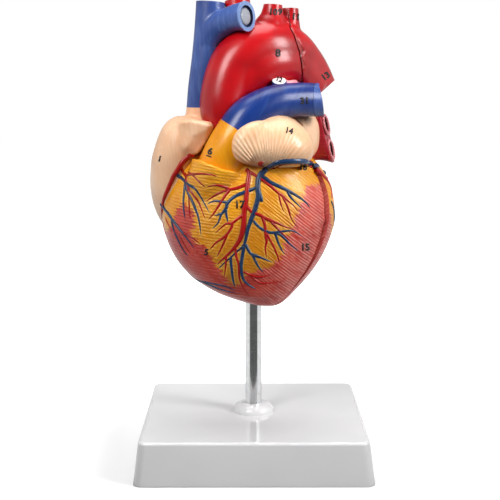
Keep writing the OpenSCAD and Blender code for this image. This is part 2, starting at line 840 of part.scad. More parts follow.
module below_cava() {
    translate([-far / 2, -far / 2, cava_foot_h - far]) cube(far);
}

module right_auricle() {
    color("burlywood") translate([0, 0, heart_z]) one_skin() difference() {
        intersection() {
            union() {
                right_atrium_body();
                intersection() {
                    tube(CAVA);
                    below_cava();
                }
            }
            front_space();
        }
        right_atrium_room();
        front_body();
        valve_holes();
        aorta_body();
        pulmonary_body();
        bore(CAVA);
        magnet_pockets();
    }
}

module left_auricle() {
    color("burlywood") translate([0, 0, heart_z]) one_skin() difference() {
        intersection() {
            blob(LEFT_AURICLE, 24, 2.1);
            front_space();
        }
        front_body();
        pulmonary_body();
        aorta_body();
    }
}

module ascending_aorta() {
    color("crimson") translate([0, 0, heart_z]) one_skin() difference() {
        intersection() {
            aorta_body();
            front_space();
        }
        bore(AORTA, 16);
        front_body();
        pulmonary_body();
    }
}

module brachiocephalic_artery() {
    color("crimson") translate([0, 0, heart_z]) one_skin() difference() {
        intersection() {
            tube(BRACHIOCEPHALIC);
            front_space();
        }
        bore(BRACHIOCEPHALIC);
        aorta_body();
    }
}

module left_carotid_artery() {
    color("crimson") translate([0, 0, heart_z]) one_skin() difference() {
        intersection() {
            tube(CAROTID);
            front_space();
        }
        bore(CAROTID);
        aorta_body();
        tube(BRACHIOCEPHALIC);
    }
}

module superior_vena_cava() {
    color("royalblue") translate([0, 0, heart_z]) one_skin() difference() {
        intersection() {
            tube(CAVA);
            front_space();
        }
        bore(CAVA);
        below_cava();
        aorta_body();
        arch_branches();
    }
}

module brachiocephalic_vein() {
    color("royalblue") translate([0, 0, heart_z]) one_skin() difference() {
        intersection() {
            tube(VEIN);
            front_space();
        }
        bore(VEIN);
        tube(CAVA);
        aorta_body();
        arch_branches();
    }
}

// Direction of the vein's open end.
vein_end = unit(at(VEIN, 3) - at(VEIN, 2));
disc_t = 2;

module vein_end_disc() {
    turn = atan2(vein_end[1], vein_end[0]);
    tip = acos(vein_end[2]);
    r = VEIN[3][3] - vessel_wall;
    color("gainsboro") translate([0, 0, heart_z]) translate(at(VEIN, 3) - 1.2 * vein_end)
        rotate([0, tip, turn]) translate([0, 0, -disc_t]) cylinder(h = disc_t, r = r - 0.8);
}

// Everything past the end of the yellow root on the pulmonary path.
module past_root() {
    in_vessel(PULMONARY, root_rings) translate([-far / 2, -far / 2, 0.7]) cube(far);
}

module pulmonary_root() {
    color("goldenrod") translate([0, 0, heart_z]) one_skin() difference() {
        pulmonary_body();
        past_root();
        bore(PULMONARY, 14);
        front_body();
    }
}

module pulmonary_trunk() {
    color("royalblue") translate([0, 0, heart_z]) one_skin() difference() {
        intersection() {
            pulmonary_body();
            past_root();
            front_space();
        }
        bore(PULMONARY, 14);
    }
}

// Short band that joins the pulmonary trunk to the underside of the arch.
module ligamentum_arteriosum() {
    color("mistyrose") translate([0, 0, heart_z]) one_skin() difference() {
        intersection() {
            tube(LIGAMENT);
            front_space();
        }
        pulmonary_body();
        aorta_body();
    }
}

// Three pockets side by side in a round plug.
module cusps(r) {
    difference() {
        cylinder(h = 5, r = r, $fn = 16);
        for (turn = [0 : 120 : 240]) rotate(turn)
            translate([0.5 * r, 0, 5.2]) scale([0.5 * r, 0.72 * r, 4.2]) sphere(1, $fn = 10);
    }
}

module in_vessel(path, i) {
    way = unit(at(path, i + 1) - at(path, i - 1));
    translate(at(path, i)) rotate([0, acos(way[2]), atan2(way[1], way[0])]) children();
}

module aortic_valve() {
    color("cornsilk") translate([0, 0, heart_z]) one_skin() difference() {
        intersection() {
            in_vessel(AORTA, 1) cusps(AORTA[1][3]);
            bore(AORTA);
            bore(AORTA, 16);
            front_space();
        }
        pulmonary_body();
    }
}

module pulmonary_valve() {
    color("cornsilk") translate([0, 0, heart_z]) one_skin() intersection() {
        in_vessel(PULMONARY, 2) cusps(PULMONARY[2][3] - vessel_wall - 0.1);
        bore(PULMONARY, 14);
    }
}

module coronary_arteries() {
    color("darkred") translate([0, 0, heart_z]) one_skin() intersection() {
        difference() {
            relief(FRONT_ARTERIES, coronary_r, true);
            front_body();
            right_atrium_body();
            blob(LEFT_AURICLE, 24, 2.1);
            pulmonary_body();
        }
        front_space();
    }
}

module cardiac_veins() {
    color("midnightblue") translate([0, 0, heart_z]) one_skin() intersection() {
        difference() {
            relief(FRONT_VEINS, heart_vein_r, true);
            relief(FRONT_ARTERIES, coronary_r, true);
            front_body();
            right_atrium_body();
            blob(LEFT_AURICLE, 24, 2.1);
        }
        front_space();
    }
}

module front_magnets() {
    color("silver") translate([0, 0, heart_z]) for (m = MAGNETS) at_seam(m[0], m[1])
        translate([0, 0, seam_gap / 2]) cylinder(h = magnet_t, d = magnet_d);
}

base_shell();
post_flange();
post();
post_washer();
post_screw();
rod_socket();
rear_ventricles();
right_atrium();
left_atrium();
descending_aorta();
left_subclavian_artery();
left_pulmonary_artery();
right_pulmonary_artery();
left_pulmonary_veins();
right_pulmonary_veins();
inferior_vena_cava();
mitral_valve();
tricuspid_valve();
papillary_muscles();
chordae_tendineae();
posterior_coronary_arteries();
coronary_sinus();
rear_magnets();
front_ventricles();
right_auricle();
left_auricle();
ascending_aorta();
brachiocephalic_artery();
left_carotid_artery();
superior_vena_cava();
brachiocephalic_vein();
vein_end_disc();
pulmonary_root();
pulmonary_trunk();
ligamentum_arteriosum();
aortic_valve();
pulmonary_valve();
coronary_arteries();
cardiac_veins();
front_magnets();
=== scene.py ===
"""Looks of the two-part heart model on its stand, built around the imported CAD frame."""
import json
import math
from itertools import product

import bmesh
import bpy
import numpy as np
from mathutils import Euler, Matrix, Vector
from mathutils.bvhtree import BVHTree
from mathutils.kdtree import KDTree

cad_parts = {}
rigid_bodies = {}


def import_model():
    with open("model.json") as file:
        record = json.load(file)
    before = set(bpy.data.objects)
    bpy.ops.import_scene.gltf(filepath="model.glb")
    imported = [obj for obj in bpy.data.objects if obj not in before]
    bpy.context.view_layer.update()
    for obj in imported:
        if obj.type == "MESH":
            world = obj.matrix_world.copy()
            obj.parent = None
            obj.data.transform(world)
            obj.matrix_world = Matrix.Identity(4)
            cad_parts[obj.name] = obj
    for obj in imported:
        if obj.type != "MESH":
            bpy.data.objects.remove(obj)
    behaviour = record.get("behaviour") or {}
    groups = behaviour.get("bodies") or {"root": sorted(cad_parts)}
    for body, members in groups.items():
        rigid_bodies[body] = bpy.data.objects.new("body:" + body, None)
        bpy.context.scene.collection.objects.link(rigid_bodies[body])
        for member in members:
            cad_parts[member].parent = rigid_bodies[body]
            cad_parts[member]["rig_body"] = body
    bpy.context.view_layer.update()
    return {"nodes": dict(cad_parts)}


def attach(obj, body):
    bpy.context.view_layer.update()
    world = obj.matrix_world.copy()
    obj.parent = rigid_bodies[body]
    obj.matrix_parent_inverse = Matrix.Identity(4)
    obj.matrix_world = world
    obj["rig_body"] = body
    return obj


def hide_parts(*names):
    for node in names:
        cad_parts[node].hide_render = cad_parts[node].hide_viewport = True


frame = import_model()

MM = 0.001
HEART_Z = 90.2          # zero of the heart's own heights, above the table

# ---------- the photograph's camera ----------
FOCAL = 1176.98         # in pixels of the 500-pixel frame
FRAME = 500
PITCH = 0.148218
YAW = 0.0021807
EYE = (-3.5047, -667.75, 218.08)

# ---------- driving tables, in millimetres ----------
# Outlines: height, left, right, front, back.
VENTRICLES = [
    [1.8, 3, 12.5, -33, -21], [3.2, -4, 16, -36.5, -14], [6, -13.5, 19.5, -39.5, -8.5],
    [9.5, -22.5, 23, -42.5, -2], [15, -32, 28.5, -45, 6], [22.5, -40.5, 34.5, -47.5, 12],
    [32, -46.5, 40, -49.5, 16], [44, -50.8, 44.3, -50.5, 19], [54, -51.5, 45, -50.5, 20],
    [64, -49, 43.5, -49.5, 20], [73, -44.5, 39.5, -47.5, 18.5], [80, -39, 34.5, -44.5, 15.5],
    [86, -31, 27.5, -39.5, 11], [90, -20, 17, -32, 4],
]
RIGHT_ATRIUM = [
    [43, -50, -43, -14, 0], [48, -53.5, -38, -20, 8], [56, -56.5, -33, -26, 13],
    [66, -58, -31, -30, 16], [76, -57.6, -30, -32, 17], [83, -56.6, -29, -33.5, 16.5],
    [91, -54, -25.5, -34.5, 14], [98, -51, -22, -34, 9], [102.5, -47.4, -21.5, -31, 3],
    [105, -43, -26, -26, -5],
]
LEFT_ATRIUM = [
    [77, -4, 27, -10, 18], [81, -10, 33, -19, 25], [86, -14, 36.5, -25, 29.5],
    [92, -15, 37.5, -27, 31], [100, -14, 37, -26, 30], [106, -9, 33.5, -19, 25],
    [109.5, 0, 26, -8, 17],
]
LEFT_AURICLE = [
    [79, -3, 25, -46, -27], [82, -10, 30, -51, -23], [87, -15, 32, -54.5, -21],
    [92.5, -15, 31.5, -54.5, -20], [98.5, -11, 28, -52, -20], [104, -3.5, 21.5, -46, -22],
    [107.5, 4, 13, -40, -27],
]
AURICLE_LOBE = [
    [-1.5, -48, 85, 4.8], [-5.2, -48.6, 88.2, 6.4], [-4.6, -48, 93.5, 7], [0.5, -45.5, 97, 7.2],
    [7, -41, 97.5, 6.4],
]
LEFT_CAVITY = [
    [13, 18, 22, -26, -20], [18, 13, 26, -31, -12], [26, 8.5, 29, -34.5, -5],
    [38, 4.5, 32, -36.5, 3], [52, 1, 34, -37, 6.5], [64, 0, 32, -35, 7],
    [74, 1, 27, -30, 5], [82, 4, 21, -22, 0],
]
RIGHT_CAVITY = [
    [14, -24, -12, -34, -24], [20, -33, -4, -39, -12], [30, -41, 4, -44, -2],
    [42, -46, 10, -46, 6], [54, -46.5, 10, -46, 10], [64, -44, 5, -45, 10],
    [72, -39, 0, -43, 7], [80, -31, -5, -39, 0],
]
# Centre lines: x, y, height, radius.
AORTA = [
    [-4, -16, 76, 9.5], [-9, -21.5, 87, 10.6], [-13.2, -24.5, 98.5, 12.4], [-15.8, -26, 109, 13.5],
    [-14.8, -25.5, 120, 13.5], [-10.2, -23.5, 132, 14.2], [-1.6, -20.5, 139.5, 14.8],
    [9, -15.5, 142, 14.8], [18.8, -7.2, 139.5, 14.4], [26.8, 1.8, 132.3, 13.4], [31.6, 7.3, 126, 12.7],
    [34.7, 11.3, 120.5, 12.3],
]
PULMONARY = [
    [-20, -31, 70, 12.2], [-18.5, -36, 77, 12.2], [-15.8, -38.3, 84, 12],
    [-12.3, -39, 91, 11.8], [-8.5, -39, 97.7, 11.3], [-3.5, -38.3, 104.8, 10.6], [4.5, -36.3, 110.4, 9.8],
    [13.5, -33, 113.6, 9.2], [22.5, -28, 114.2, 9], [28, -21.5, 114, 8.9], [30, -13, 113.5, 8.9],
]
CAVA = [
    [-30.3, -17, 98, 7.9], [-29, -18, 110, 7.9], [-28, -18.5, 121, 7.9],
    [-26, -18.5, 136, 7.9], [-24.5, -18, 151, 7.9], [-23.4, -17.5, 166.5, 7.9],
]
VEIN = [
    [-25.5, -18.5, 144, 7.6], [-20, -22, 152.5, 7.4], [-11, -28.5, 157.3, 7], [-3.8, -33.5, 158.3, 8.1],
]
BRACHIOCEPHALIC = [[-6, -19.2, 143, 11], [-7.5, -16.8, 153, 7.6], [-9, -14.8, 167.5, 7]]
CAROTID = [[7, -17, 144, 10.5], [9, -15.5, 154, 9], [10, -14.8, 159, 6.8], [10.4, -14.4, 165.2, 5.1]]
SUBCLAVIAN = [[19, -9, 142, 9], [19.8, -7.5, 153, 6], [20, -6.6, 163.6, 4.7]]
CONUS = [
    [-29, -25, 50, 12], [-25.5, -29.5, 60, 14.2], [-22.2, -33.6, 69, 14.9], [-19.4, -36.8, 77, 14.9],
    [-16, -39.2, 86, 14.9],
]
ARCH_INNER = [
    [-8, -23, 121, 12.4], [-4, -22.6, 126.4, 13.1], [3, -20.4, 132, 13.9], [11.5, -16, 134.4, 13.9],
    [20, -8.3, 132.6, 13.3], [26.9, -0.3, 126.6, 12.5], [30.8, 4.8, 120.5, 12],
]
SIDE_MAGNET_SEAT = [[34, -31.2, 47, 3.4], [34.3, -31.4, 50, 4.6], [34, -31.2, 53, 3.4]]
RIGHT_LUNG_ARTERY = [
    [27, -12, 113.5, 8.3], [15, -3, 113, 8], [0, 3, 112, 7.8], [-17, 7, 110.5, 7.6], [-34, 9, 109.5, 7.6],
]
LOWER_CAVA = [[-39, 4, 62, 9.5], [-38, 9, 46, 9.2], [-37.5, 13, 30.5, 9]]
RIGHT_LUNG_VEINS = [
    [[-2, 14, 99, 7], [-14, 22, 99.5, 6.8], [-28, 26, 100.5, 7]],
    [[-2, 16, 86, 7], [-14, 24, 85, 6.8], [-28, 28, 83.5, 7]],
]
LEFT_LUNG_END = [[38.5, 106.5], [45.5, 78]]
LEFT_LUNG_OPENINGS = [[41, 99.7], [44, 85.8]]
LUNG_VEIN_R = 5
PAPILLARY = [
    [[30, -8, 27, 6], [27, -9, 38, 4.4], [23, -9, 50, 2.2]],
    [[17, 5, 27, 5.5], [17, 1, 38, 4.2], [16, -3, 50, 2]],
    [[-33, -17, 26, 5], [-33, -14, 36, 3.8], [-33, -11, 46, 1.8]],
    [[-16, 4, 30, 4.5], [-19, 1, 39, 3.4], [-22, -2, 47, 1.6]],
]
BACK_ARTERIES = [
    [[[-48, 40], [-44, 52], [-34, 62], [-20, 68], [-8, 70], [0, 64], [2, 50], [4, 36], [8, 24]], 1],
    [[[34, 73], [39, 68], [36, 62], [26, 58], [20, 48], [18, 36]], 0.8],
    [[[0, 62], [10, 52], [14, 42]], 0.7],
    [[[-34, 62], [-32, 50], [-26, 40], [-20, 34]], 0.6],
    [[[3, 44], [-6, 36], [-12, 28]], 0.5],
]
BACK_VEINS = [
    [[[35, 72], [28, 73.5], [16, 75], [0, 75.5], [-14, 73.5], [-24, 68.5]], 1.6],
    [[[-8, 74], [-5, 62], [-4, 48], [-1, 34], [4, 22]], 1],
    [[[22, 73.5], [26, 64], [29, 50], [27, 38]], 0.85],
    [[[-4, 50], [-14, 42], [-22, 36]], 0.6],
]
MITRAL = [13, -2, 80, 11.5]
MITRAL_TILT = (-28, 8, 0)
TRICUSPID = [-33, -2, 72, 10.5]
TRICUSPID_TILT = (-12, -38, 0)
SQUARE = 2.25           # roundness of horizontal outlines: 2 is an ellipse
SEAM_Y = -23.5
SEAM_H = 55
SEAM_YAW = 11.5
SEAM_LEAN = 8.5
SEAM_GAP = 0.8
RIM_W = 2.6
VESSEL_WALL = 2.2
ATRIUM_WALL = 3.5
ROOT_RINGS = 4          # centre points of the pulmonary trunk that are its yellow root
CAVA_FOOT_H = 110
SOCKET_R = 6.81
SOCKET_TOP = 40
PIXEL = 0.552           # millimetres to one pixel at the heart
RELIEF_WIDER = 1.3      # relief cords to the widths in the routes below
SOFT = 38               # edges sharper than this many degrees stay sharp
FAR = 200               # half size of the blocks that cut
ARCH_FOOT_H = 112       # the rear half of the arch ends above this
ARCH_STEP = 1.1         # pixels left between the halves at the arch
TRUNK_STEP = 0.3        # and at the pulmonary trunk
WALL_RIGHT = 350        # pixel column at which the walls behind the cut end
WALL_FRONT = 60
WALL_BACK = 40
FRONT_LIMIT = 0.02      # metres: samples farther back have missed the heart's front
SHORTEST = 5            # samples of the shortest relief cord
FIGURE_SCALE = 1.12 / 0.72
FIGURE_LIFT = 0.09
FIGURE_THICK = 0.12
FIGURE_JUMP = 7         # farther behind the figure's middle is another piece
BOX_FACES = [(0, 1, 3, 2), (4, 6, 7, 5), (0, 4, 5, 1), (2, 3, 7, 6), (0, 2, 6, 4), (1, 5, 7, 3)]
RIB_CENTRE = (8, 72)
RIB_COUNT = 74

# Vessels on the front, along the photograph's pixels: route, then widths at its start, middle and end.
RED_ROUTES = [
    ([(246, 168.8), (248.7, 172.9), (248.2, 180), (247.3, 188), (246.4, 195.2), (245.5, 204.1),
      (244.2, 210.8), (244, 217.5), (243.5, 225.6), (241.5, 235), (238.4, 242.1), (233.9, 248),
      (228.6, 253.8), (222.3, 259.6), (217, 264.9)], 3.4, 4.2, 0.8),
    ([(249.1, 171.5), (256.3, 176), (260.7, 178.7), (265.2, 182.2), (271.9, 187.1), (277.7, 192.5),
      (283, 196), (287.7, 200.5), (293.2, 205), (298.6, 212.2)], 2.6, 2.2, 0.7),
    ([(276.5, 191), (278.6, 193.8), (279.9, 199.6), (281.3, 205.4), (284.4, 212.6)], 1.6, 1.4, 0.6),
    ([(281, 194.6), (283, 197.4), (287.5, 206.3), (289.3, 212.1), (292, 219.7), (299, 230)], 1.6, 1.6, 0.6),
    ([(247.2, 183.9), (238.8, 187.5), (229.8, 189.3), (225.4, 187.1), (220, 185.7), (214.2, 185.3),
      (205.7, 187.5)], 2.8, 2.2, 0.8),
    ([(188, 172), (193.5, 175.8), (200.4, 183), (205.7, 187.5)], 1.6, 1.6, 1),
    ([(229.8, 189.3), (224, 191.1), (217.3, 193.8), (212, 197.3), (205.3, 201.8)], 2.2, 1.6, 0.6),
    ([(229.8, 189.6), (225.8, 194.6), (220.4, 202.7), (213.8, 213.4), (208, 220)], 2.4, 1.8, 0.6),
    ([(245.5, 205), (247.2, 206.7), (250.8, 211.2), (255.3, 213.4), (261, 215.6), (266.8, 218.9),
      (273.5, 221.6), (279.3, 223.8), (284.6, 226.5), (293, 229)], 2.6, 2.6, 0.8),
    ([(261.6, 216), (262.3, 217.6), (265, 225.6), (265.4, 235), (266.8, 241.3), (265.4, 248),
      (266.8, 258.2)], 2.4, 2.2, 0.7),
    ([(265.4, 232), (268.6, 236.8), (271.3, 242.1), (274.4, 248), (278.4, 258.2),
      (279.3, 262.7)], 2, 1.8, 0.6),
    ([(270, 220.4), (273, 223.8), (276.6, 227.4), (283.8, 235), (291.3, 241.3)], 2, 1.8, 0.6),
    ([(244, 213.4), (242.9, 214.5), (238, 218.5), (231.3, 223.4), (226.8, 223.4), (221.4, 227.4),
      (214.7, 233.7)], 2.6, 2, 0.6),
    ([(232.5, 222.6), (231.3, 227.9), (225, 236.3), (215.6, 243), (208.9, 250.6)], 2, 2, 0.6),
    ([(227.5, 233.5), (225.9, 237.7), (221.4, 248), (216.5, 257.3)], 1.8, 1.6, 0.6),
    ([(226.2, 257), (225.9, 262.7), (225.4, 268), (223.7, 279.6)], 1.8, 1.6, 0.6),
    ([(235.4, 246.5), (236.2, 256.4), (237.9, 261.3), (238.9, 266.9), (239.5, 279.5), (245.3, 291),
      (249.9, 296.2)], 2.2, 1.8, 0.6),
    ([(243.5, 271.5), (248.7, 274.4), (260.2, 277.2), (271.7, 274.4)], 2, 1.8, 0.5),
    ([(249, 274.6), (255.6, 280.1), (260.2, 283), (271.7, 283), (284.3, 280.7)], 1.8, 1.5, 0.5),
    ([(192, 154.5), (190.9, 155.4), (184.8, 160), (180.7, 165.1), (177.7, 170.2), (173.6, 176.3),
      (170.5, 183.5), (165.5, 194.3), (163, 201.4), (161.9, 210.6), (162.2, 227),
      (164, 235)], 5.2, 3.2, 1.2),
    ([(180.7, 166.1), (182.8, 171.7), (185.8, 175.8), (188.9, 174.8), (200.4, 173.7), (212.9, 175),
      (216.9, 176.8)], 2.4, 2, 0.6),
    ([(184.6, 173.6), (185.8, 175.8), (187.4, 185.1), (191, 191.7), (198.7, 202.4), (201.2, 208.6),
      (205.8, 220.3)], 2.4, 2, 0.7),
    ([(187.6, 187), (189, 200.4), (189.5, 213.2), (190.5, 219.8)], 1.6, 1.4, 0.5),
    ([(165.5, 217.8), (171.6, 230), (177.8, 233.6), (185.9, 247.3), (191, 254)], 1.6, 1.4, 0.5),
    ([(182, 233.5), (189, 235.6), (195.1, 239.7), (201.2, 244.8)], 1.6, 1.4, 0.5),
    ([(270, 168.5), (274.5, 168), (281.2, 164.9), (287.9, 163.6), (296.8, 162.7), (303.5, 163.1),
      (308.8, 165.4), (312, 167.6)], 1.4, 2.6, 3.4),
    ([(262.5, 161.7), (259.4, 164.4), (264.3, 166.2)], 3.2, 3, 2),
]
BLUE_ROUTES = [
    ([(311.5, 164.5), (307.1, 162.7), (301.3, 161.3), (292.3, 161.3), (283.4, 161.8), (276.3, 163),
      (271.9, 165.3), (267.4, 167.5), (263.8, 171.5), (260.5, 174.6), (258.5, 178.2), (257.6, 188),
      (258.2, 194), (257.6, 199.6), (254.9, 209.5), (251.3, 218.9), (249.1, 224.7), (247.3, 231),
      (246, 237.7), (244.6, 243.5), (242.4, 247), (237.9, 250.6), (229.9, 258.2), (225, 262.2),
      (217.9, 269.4)], 5.4, 3.6, 0.8),
    ([(257.8, 188), (259.6, 194), (261, 198), (262.1, 202.3)], 3.4, 3, 2.2),
    ([(230.8, 257.6), (230.8, 260.4), (231.3, 266.3), (233, 280), (234.9, 287)], 2.6, 2.2, 0.8),
    ([(243.5, 246), (243.3, 250.2), (241.5, 261.3), (241.1, 267.1), (243, 279), (249.9, 285.8),
      (255.6, 288.7)], 2.8, 2.4, 0.8),
    ([(245.5, 244), (249.1, 251.5), (252.7, 254.6), (262.5, 258.2), (273, 262.7)], 2.6, 2.2, 0.7),
    ([(252.2, 254.5), (253.6, 257.3), (256.3, 262.7), (259.4, 268), (263.4, 272)], 2.2, 1.8, 0.7),
    ([(260.7, 176), (265.2, 178.2), (269.6, 181.8), (280.8, 187.1), (287.5, 190.3), (297.7, 196.2),
      (305.7, 202.4), (310.2, 208.2)], 3.4, 2.8, 0.6),
    ([(286.5, 190), (287.9, 192.1), (290.1, 196.2), (293.7, 200.6), (303.9, 210.4)], 2.4, 2, 0.6),
    ([(257.2, 187.4), (246.3, 191.5), (239.6, 194.2), (233.4, 197.3), (227.1, 203.6), (226.3, 208),
      (221, 215), (217.9, 223.4), (212, 228.8)], 2.8, 2.6, 0.6),
    ([(226, 209), (226.3, 214.5), (228.1, 223)], 2, 1.8, 0.6),
    ([(228.6, 201.6), (225.4, 202.2), (214.2, 200.9), (207.1, 204.5)], 2.2, 1.8, 0.6),
    ([(222, 213.6), (219.1, 214.3), (214.2, 216)], 2, 1.6, 0.6),
    ([(253.4, 220.7), (257, 225.2), (261.4, 228.8), (266.8, 231.4), (272.1, 232.8), (283.8, 231.2),
      (293.6, 231), (302.5, 236.8)], 2.2, 2.2, 0.6),
    ([(275.5, 233), (279.3, 234.1), (283.8, 237.7), (291.3, 245.3), (298.9, 251.5)], 2.2, 1.8, 0.6),
    ([(275, 233), (275.7, 235), (279.3, 245.3), (284.6, 254.6)], 2, 1.8, 0.6),
    ([(173.6, 173.3), (179.7, 176.8), (185.8, 181.9), (189, 185.1), (195.1, 188.7), (202.2, 199.4),
      (209.9, 213.7)], 2.8, 2.4, 0.6),
    ([(185.4, 181.4), (184.4, 190.2), (183.4, 205.5), (185.4, 220.8)], 2.4, 2, 0.6),
    ([(185.8, 181.9), (186.9, 190.2), (193.1, 203), (198.7, 218.3), (201.2, 236.1)], 2.6, 2.2, 0.6),
    ([(160.4, 203.5), (164.5, 209.1), (169.1, 214.7), (177.8, 226.9), (185.9, 237.1),
      (195.1, 249.4)], 2.6, 2.6, 0.7),
    ([(171.4, 218), (172.7, 225.9), (176.7, 237.1), (183.9, 250.9), (188.5, 256.5)], 2, 1.8, 0.6),
    ([(161.2, 226), (164.5, 240), (170.5, 254), (178.8, 265.5), (188.6, 275)], 1.2, 1.8, 1),
    ([(203, 281.5), (212, 283.5), (224, 286), (236, 290.5)], 1.4, 1.4, 0.6),
    ([(190.7, 275.1), (194.9, 279.3), (203.3, 282.1), (220.2, 289.1), (237, 293.3)], 1.6, 2.2, 0.8),
]
# Outlines in the photograph's pixels.
CONUS_TOP = [
    (176, 158), (190.9, 158.6), (199.1, 159.6), (212, 165), (225, 169.8), (238, 172), (252, 172.6),
    (268, 176), (268, 110), (176, 110),
]
AORTA_END = [(348, 68), (335.8, 79.2), (322, 91.6), (305, 106), (345, 130)]
ARCH_SEAM = [
    (283, -12), (283.2, 12), (286.4, 24.2), (291.2, 32.7), (294.2, 41.2), (296.7, 49.7), (298.5, 60.6),
    (299.1, 69.7), (297.9, 80.6), (296, 100),
]
TORN_STRIP = [
    (285.5, 18), (290, 24), (296, 33.9), (301.5, 45.4), (305.1, 50.9), (302.2, 55.7), (305.4, 65.4),
    (302.5, 74), (303, 84), (290, 90), (290, 60), (286, 35),
]
LUNG_ARTERY_SEAM = [(314, 60), (314.6, 90), (315.4, 104), (315, 130)]
LUNG_ARTERY_END = [(318.8, 70), (319.3, 86), (322.4, 99), (323.6, 109), (325, 130)]
LIP_LINE = [(187, 157), (190.9, 157.8), (199.1, 158.7), (212, 164.2), (225, 168.9), (238, 171.2), (247, 172)]
# Vessels of the rear half that show beside the cut, as the routes above.
REAR_RED_ROUTES = [
    ([(316, 169), (320, 172.5), (324, 177), (327.6, 181.4), (330.4, 187), (331.6, 193),
      (331.6, 199)], 5.4, 2.4, 1.4),
]
REAR_BLUE_ROUTES = [
    ([(313, 165.5), (318, 165.8), (323, 166.6), (327, 168.4), (330, 171)], 4.4, 4.2, 3),
    ([(331, 201), (333.4, 208), (334, 218), (333, 230), (329.6, 242), (323, 256), (313, 270.5),
      (300, 286)], 2.2, 2, 1.4),
]
# Edge of the yellow fat over the front.
FAT_EDGE = [
    (140, 140), (335, 140), (330, 180), (317.3, 184.4), (312.4, 185), (306, 187.5), (303.9, 197),
    (301, 203), (297.7, 212.2), (290, 232), (284, 241), (283, 254), (277.9, 260), (270.5, 266.5),
    (255, 271), (246, 275), (243, 281), (236, 285), (228, 283), (222, 272), (216, 264), (210, 256),
    (205, 247), (200, 243), (193, 238), (189, 233), (194, 227.4), (195.2, 220), (191.5, 210), (184, 203),
    (177, 208.6), (174, 217.4), (171.5, 225), (168, 230), (140, 232),
]
# Plain figures on the pieces: text, pixel, height in pixels, turn in degrees, whether on the front half.
FIGURES = [
    ("8", (277.9, 53.3), 6.6, 0, True), ("10", (273, 12.1), 5.4, -6, True), ("9", (280, 12), 5.2, 0, True),
    ("11", (295.7, 17), 5.6, -8, False), ("13", (325.7, 76.3), 5.6, 36, False),
    ("31", (304.5, 101), 5.8, 4, True), ("14", (289, 131), 5.2, -12, True),
    ("6", (210.1, 151.6), 6, -18, True), ("_", (210.1, 152.6), 6, -18, True),
    ("1", (159.8, 159), 5, -14, True), ("5", (206.3, 252.4), 5.4, -8, True),
    ("17", (239.6, 204.9), 6.6, 0, True), ("15", (305.2, 247.5), 6, 0, True),
    ("18", (303, 167.6), 5, -4, True), ("12", (279.1, 79.6), 4.2, -20, True),
]


# ---------- curves and skins ----------

def smooth(keys, steps):
    """The keys with steps - 1 more points between each two, on one smooth curve."""
    keys = np.array(keys, float)
    last = len(keys) - 1
    points = []
    for i in range(last):
        a, b, c, d = keys[max(i - 1, 0)], keys[i], keys[i + 1], keys[min(i + 2, last)]
        for k in range(steps):
            t = k / steps
            points.append(b + 0.5 * t * (c - a + t * (2 * a - 5 * b + 4 * c - d + t * (3 * (b - c) + d - a))))
    points.append(keys[last])
    return np.array(points)


def unit(v):
    """The vectors, one long."""
    return v / np.maximum(np.linalg.norm(v, axis=-1, keepdims=True), 1e-9)


def sides_along(dirs):
    """Side directions that turn as little as possible along the path."""
    start = np.array([1.0, 0, 0] if abs(dirs[0][0]) < 0.7 else [0, 1.0, 0])
    side = unit(np.cross(dirs[0], start))
    sides = [side]
    for d in dirs[1:]:
        side = unit(side - np.dot(side, d) * d)
        sides.append(side)
    return np.array(sides)


def link(name, verts, faces):
    """A mesh object from heart millimetres, with its faces turned outwards."""
    mesh = bpy.data.meshes.new(name)
    verts = (np.asarray(verts, float) + [0, 0, HEART_Z]) * MM
    mesh.from_pydata(verts.tolist(), [], faces)
    work = bmesh.new()
    work.from_mesh(mesh)
    bmesh.ops.recalc_face_normals(work, faces=work.faces)
    work.to_mesh(mesh)
    work.free()
    thing = bpy.data.objects.new(name, mesh)
    bpy.context.scene.collection.objects.link(thing)
    return thing


def skin(name, rings):
    """Closed skin over rings of equally many points."""
    count, n = rings.shape[:2]
    verts = rings.reshape(-1, 3).tolist()
    faces = []
    for i in range(count - 1):
        for k in range(n):
            a = i * n + k
            b = i * n + (k + 1) % n
            faces.append((a, b, b + n, a + n))
    for ring, flip in ((0, True), (count - 1, False)):
        centre = len(verts)
        verts.append(rings[ring].mean(axis=0).tolist())
        for k in range(n):
            a = ring * n + k
            b = ring * n + (k + 1) % n
            faces.append((centre, b, a) if flip else (centre, a, b))
    return link(name, verts, faces)


def tube_rings(path, points, inset):
    """Circles across a path of x, y, height and radius."""
    dirs = unit(np.gradient(path[:, :3], axis=0))
    across = sides_along(dirs)
    up = np.cross(dirs, across)
    angle = np.linspace(0, 2 * math.pi, points, endpoint=False)
    radius = (path[:, 3] - inset)[:, None, None]
    ring = np.cos(angle)[None, :, None] * across[:, None] + np.sin(angle)[None, :, None] * up[:, None]
    return path[:, None, :3] + radius * ring


def round_bar(first, last, radius, points=48):
    path = np.array([[*first, radius], [*last, radius]])
    return skin("bar", tube_rings(path, points, 0))


def vessel(path, inset=0.0, reach=0.0, back=0.0, points=56, steps=9):
    """Round tube along a centre line. reach moves its far end outwards, back its first end."""
    keys = smooth(path, steps)
    keys[0, :3] -= back * unit(keys[1, :3] - keys[0, :3])
    keys[-1, :3] += reach * unit(keys[-1, :3] - keys[-2, :3])
    return skin("vessel", tube_rings(keys, points, inset))


def bore(path, wall=VESSEL_WALL, reach=4):
    """The inside of a vessel, with some length past both ends."""
    return vessel(path, wall, reach, reach)


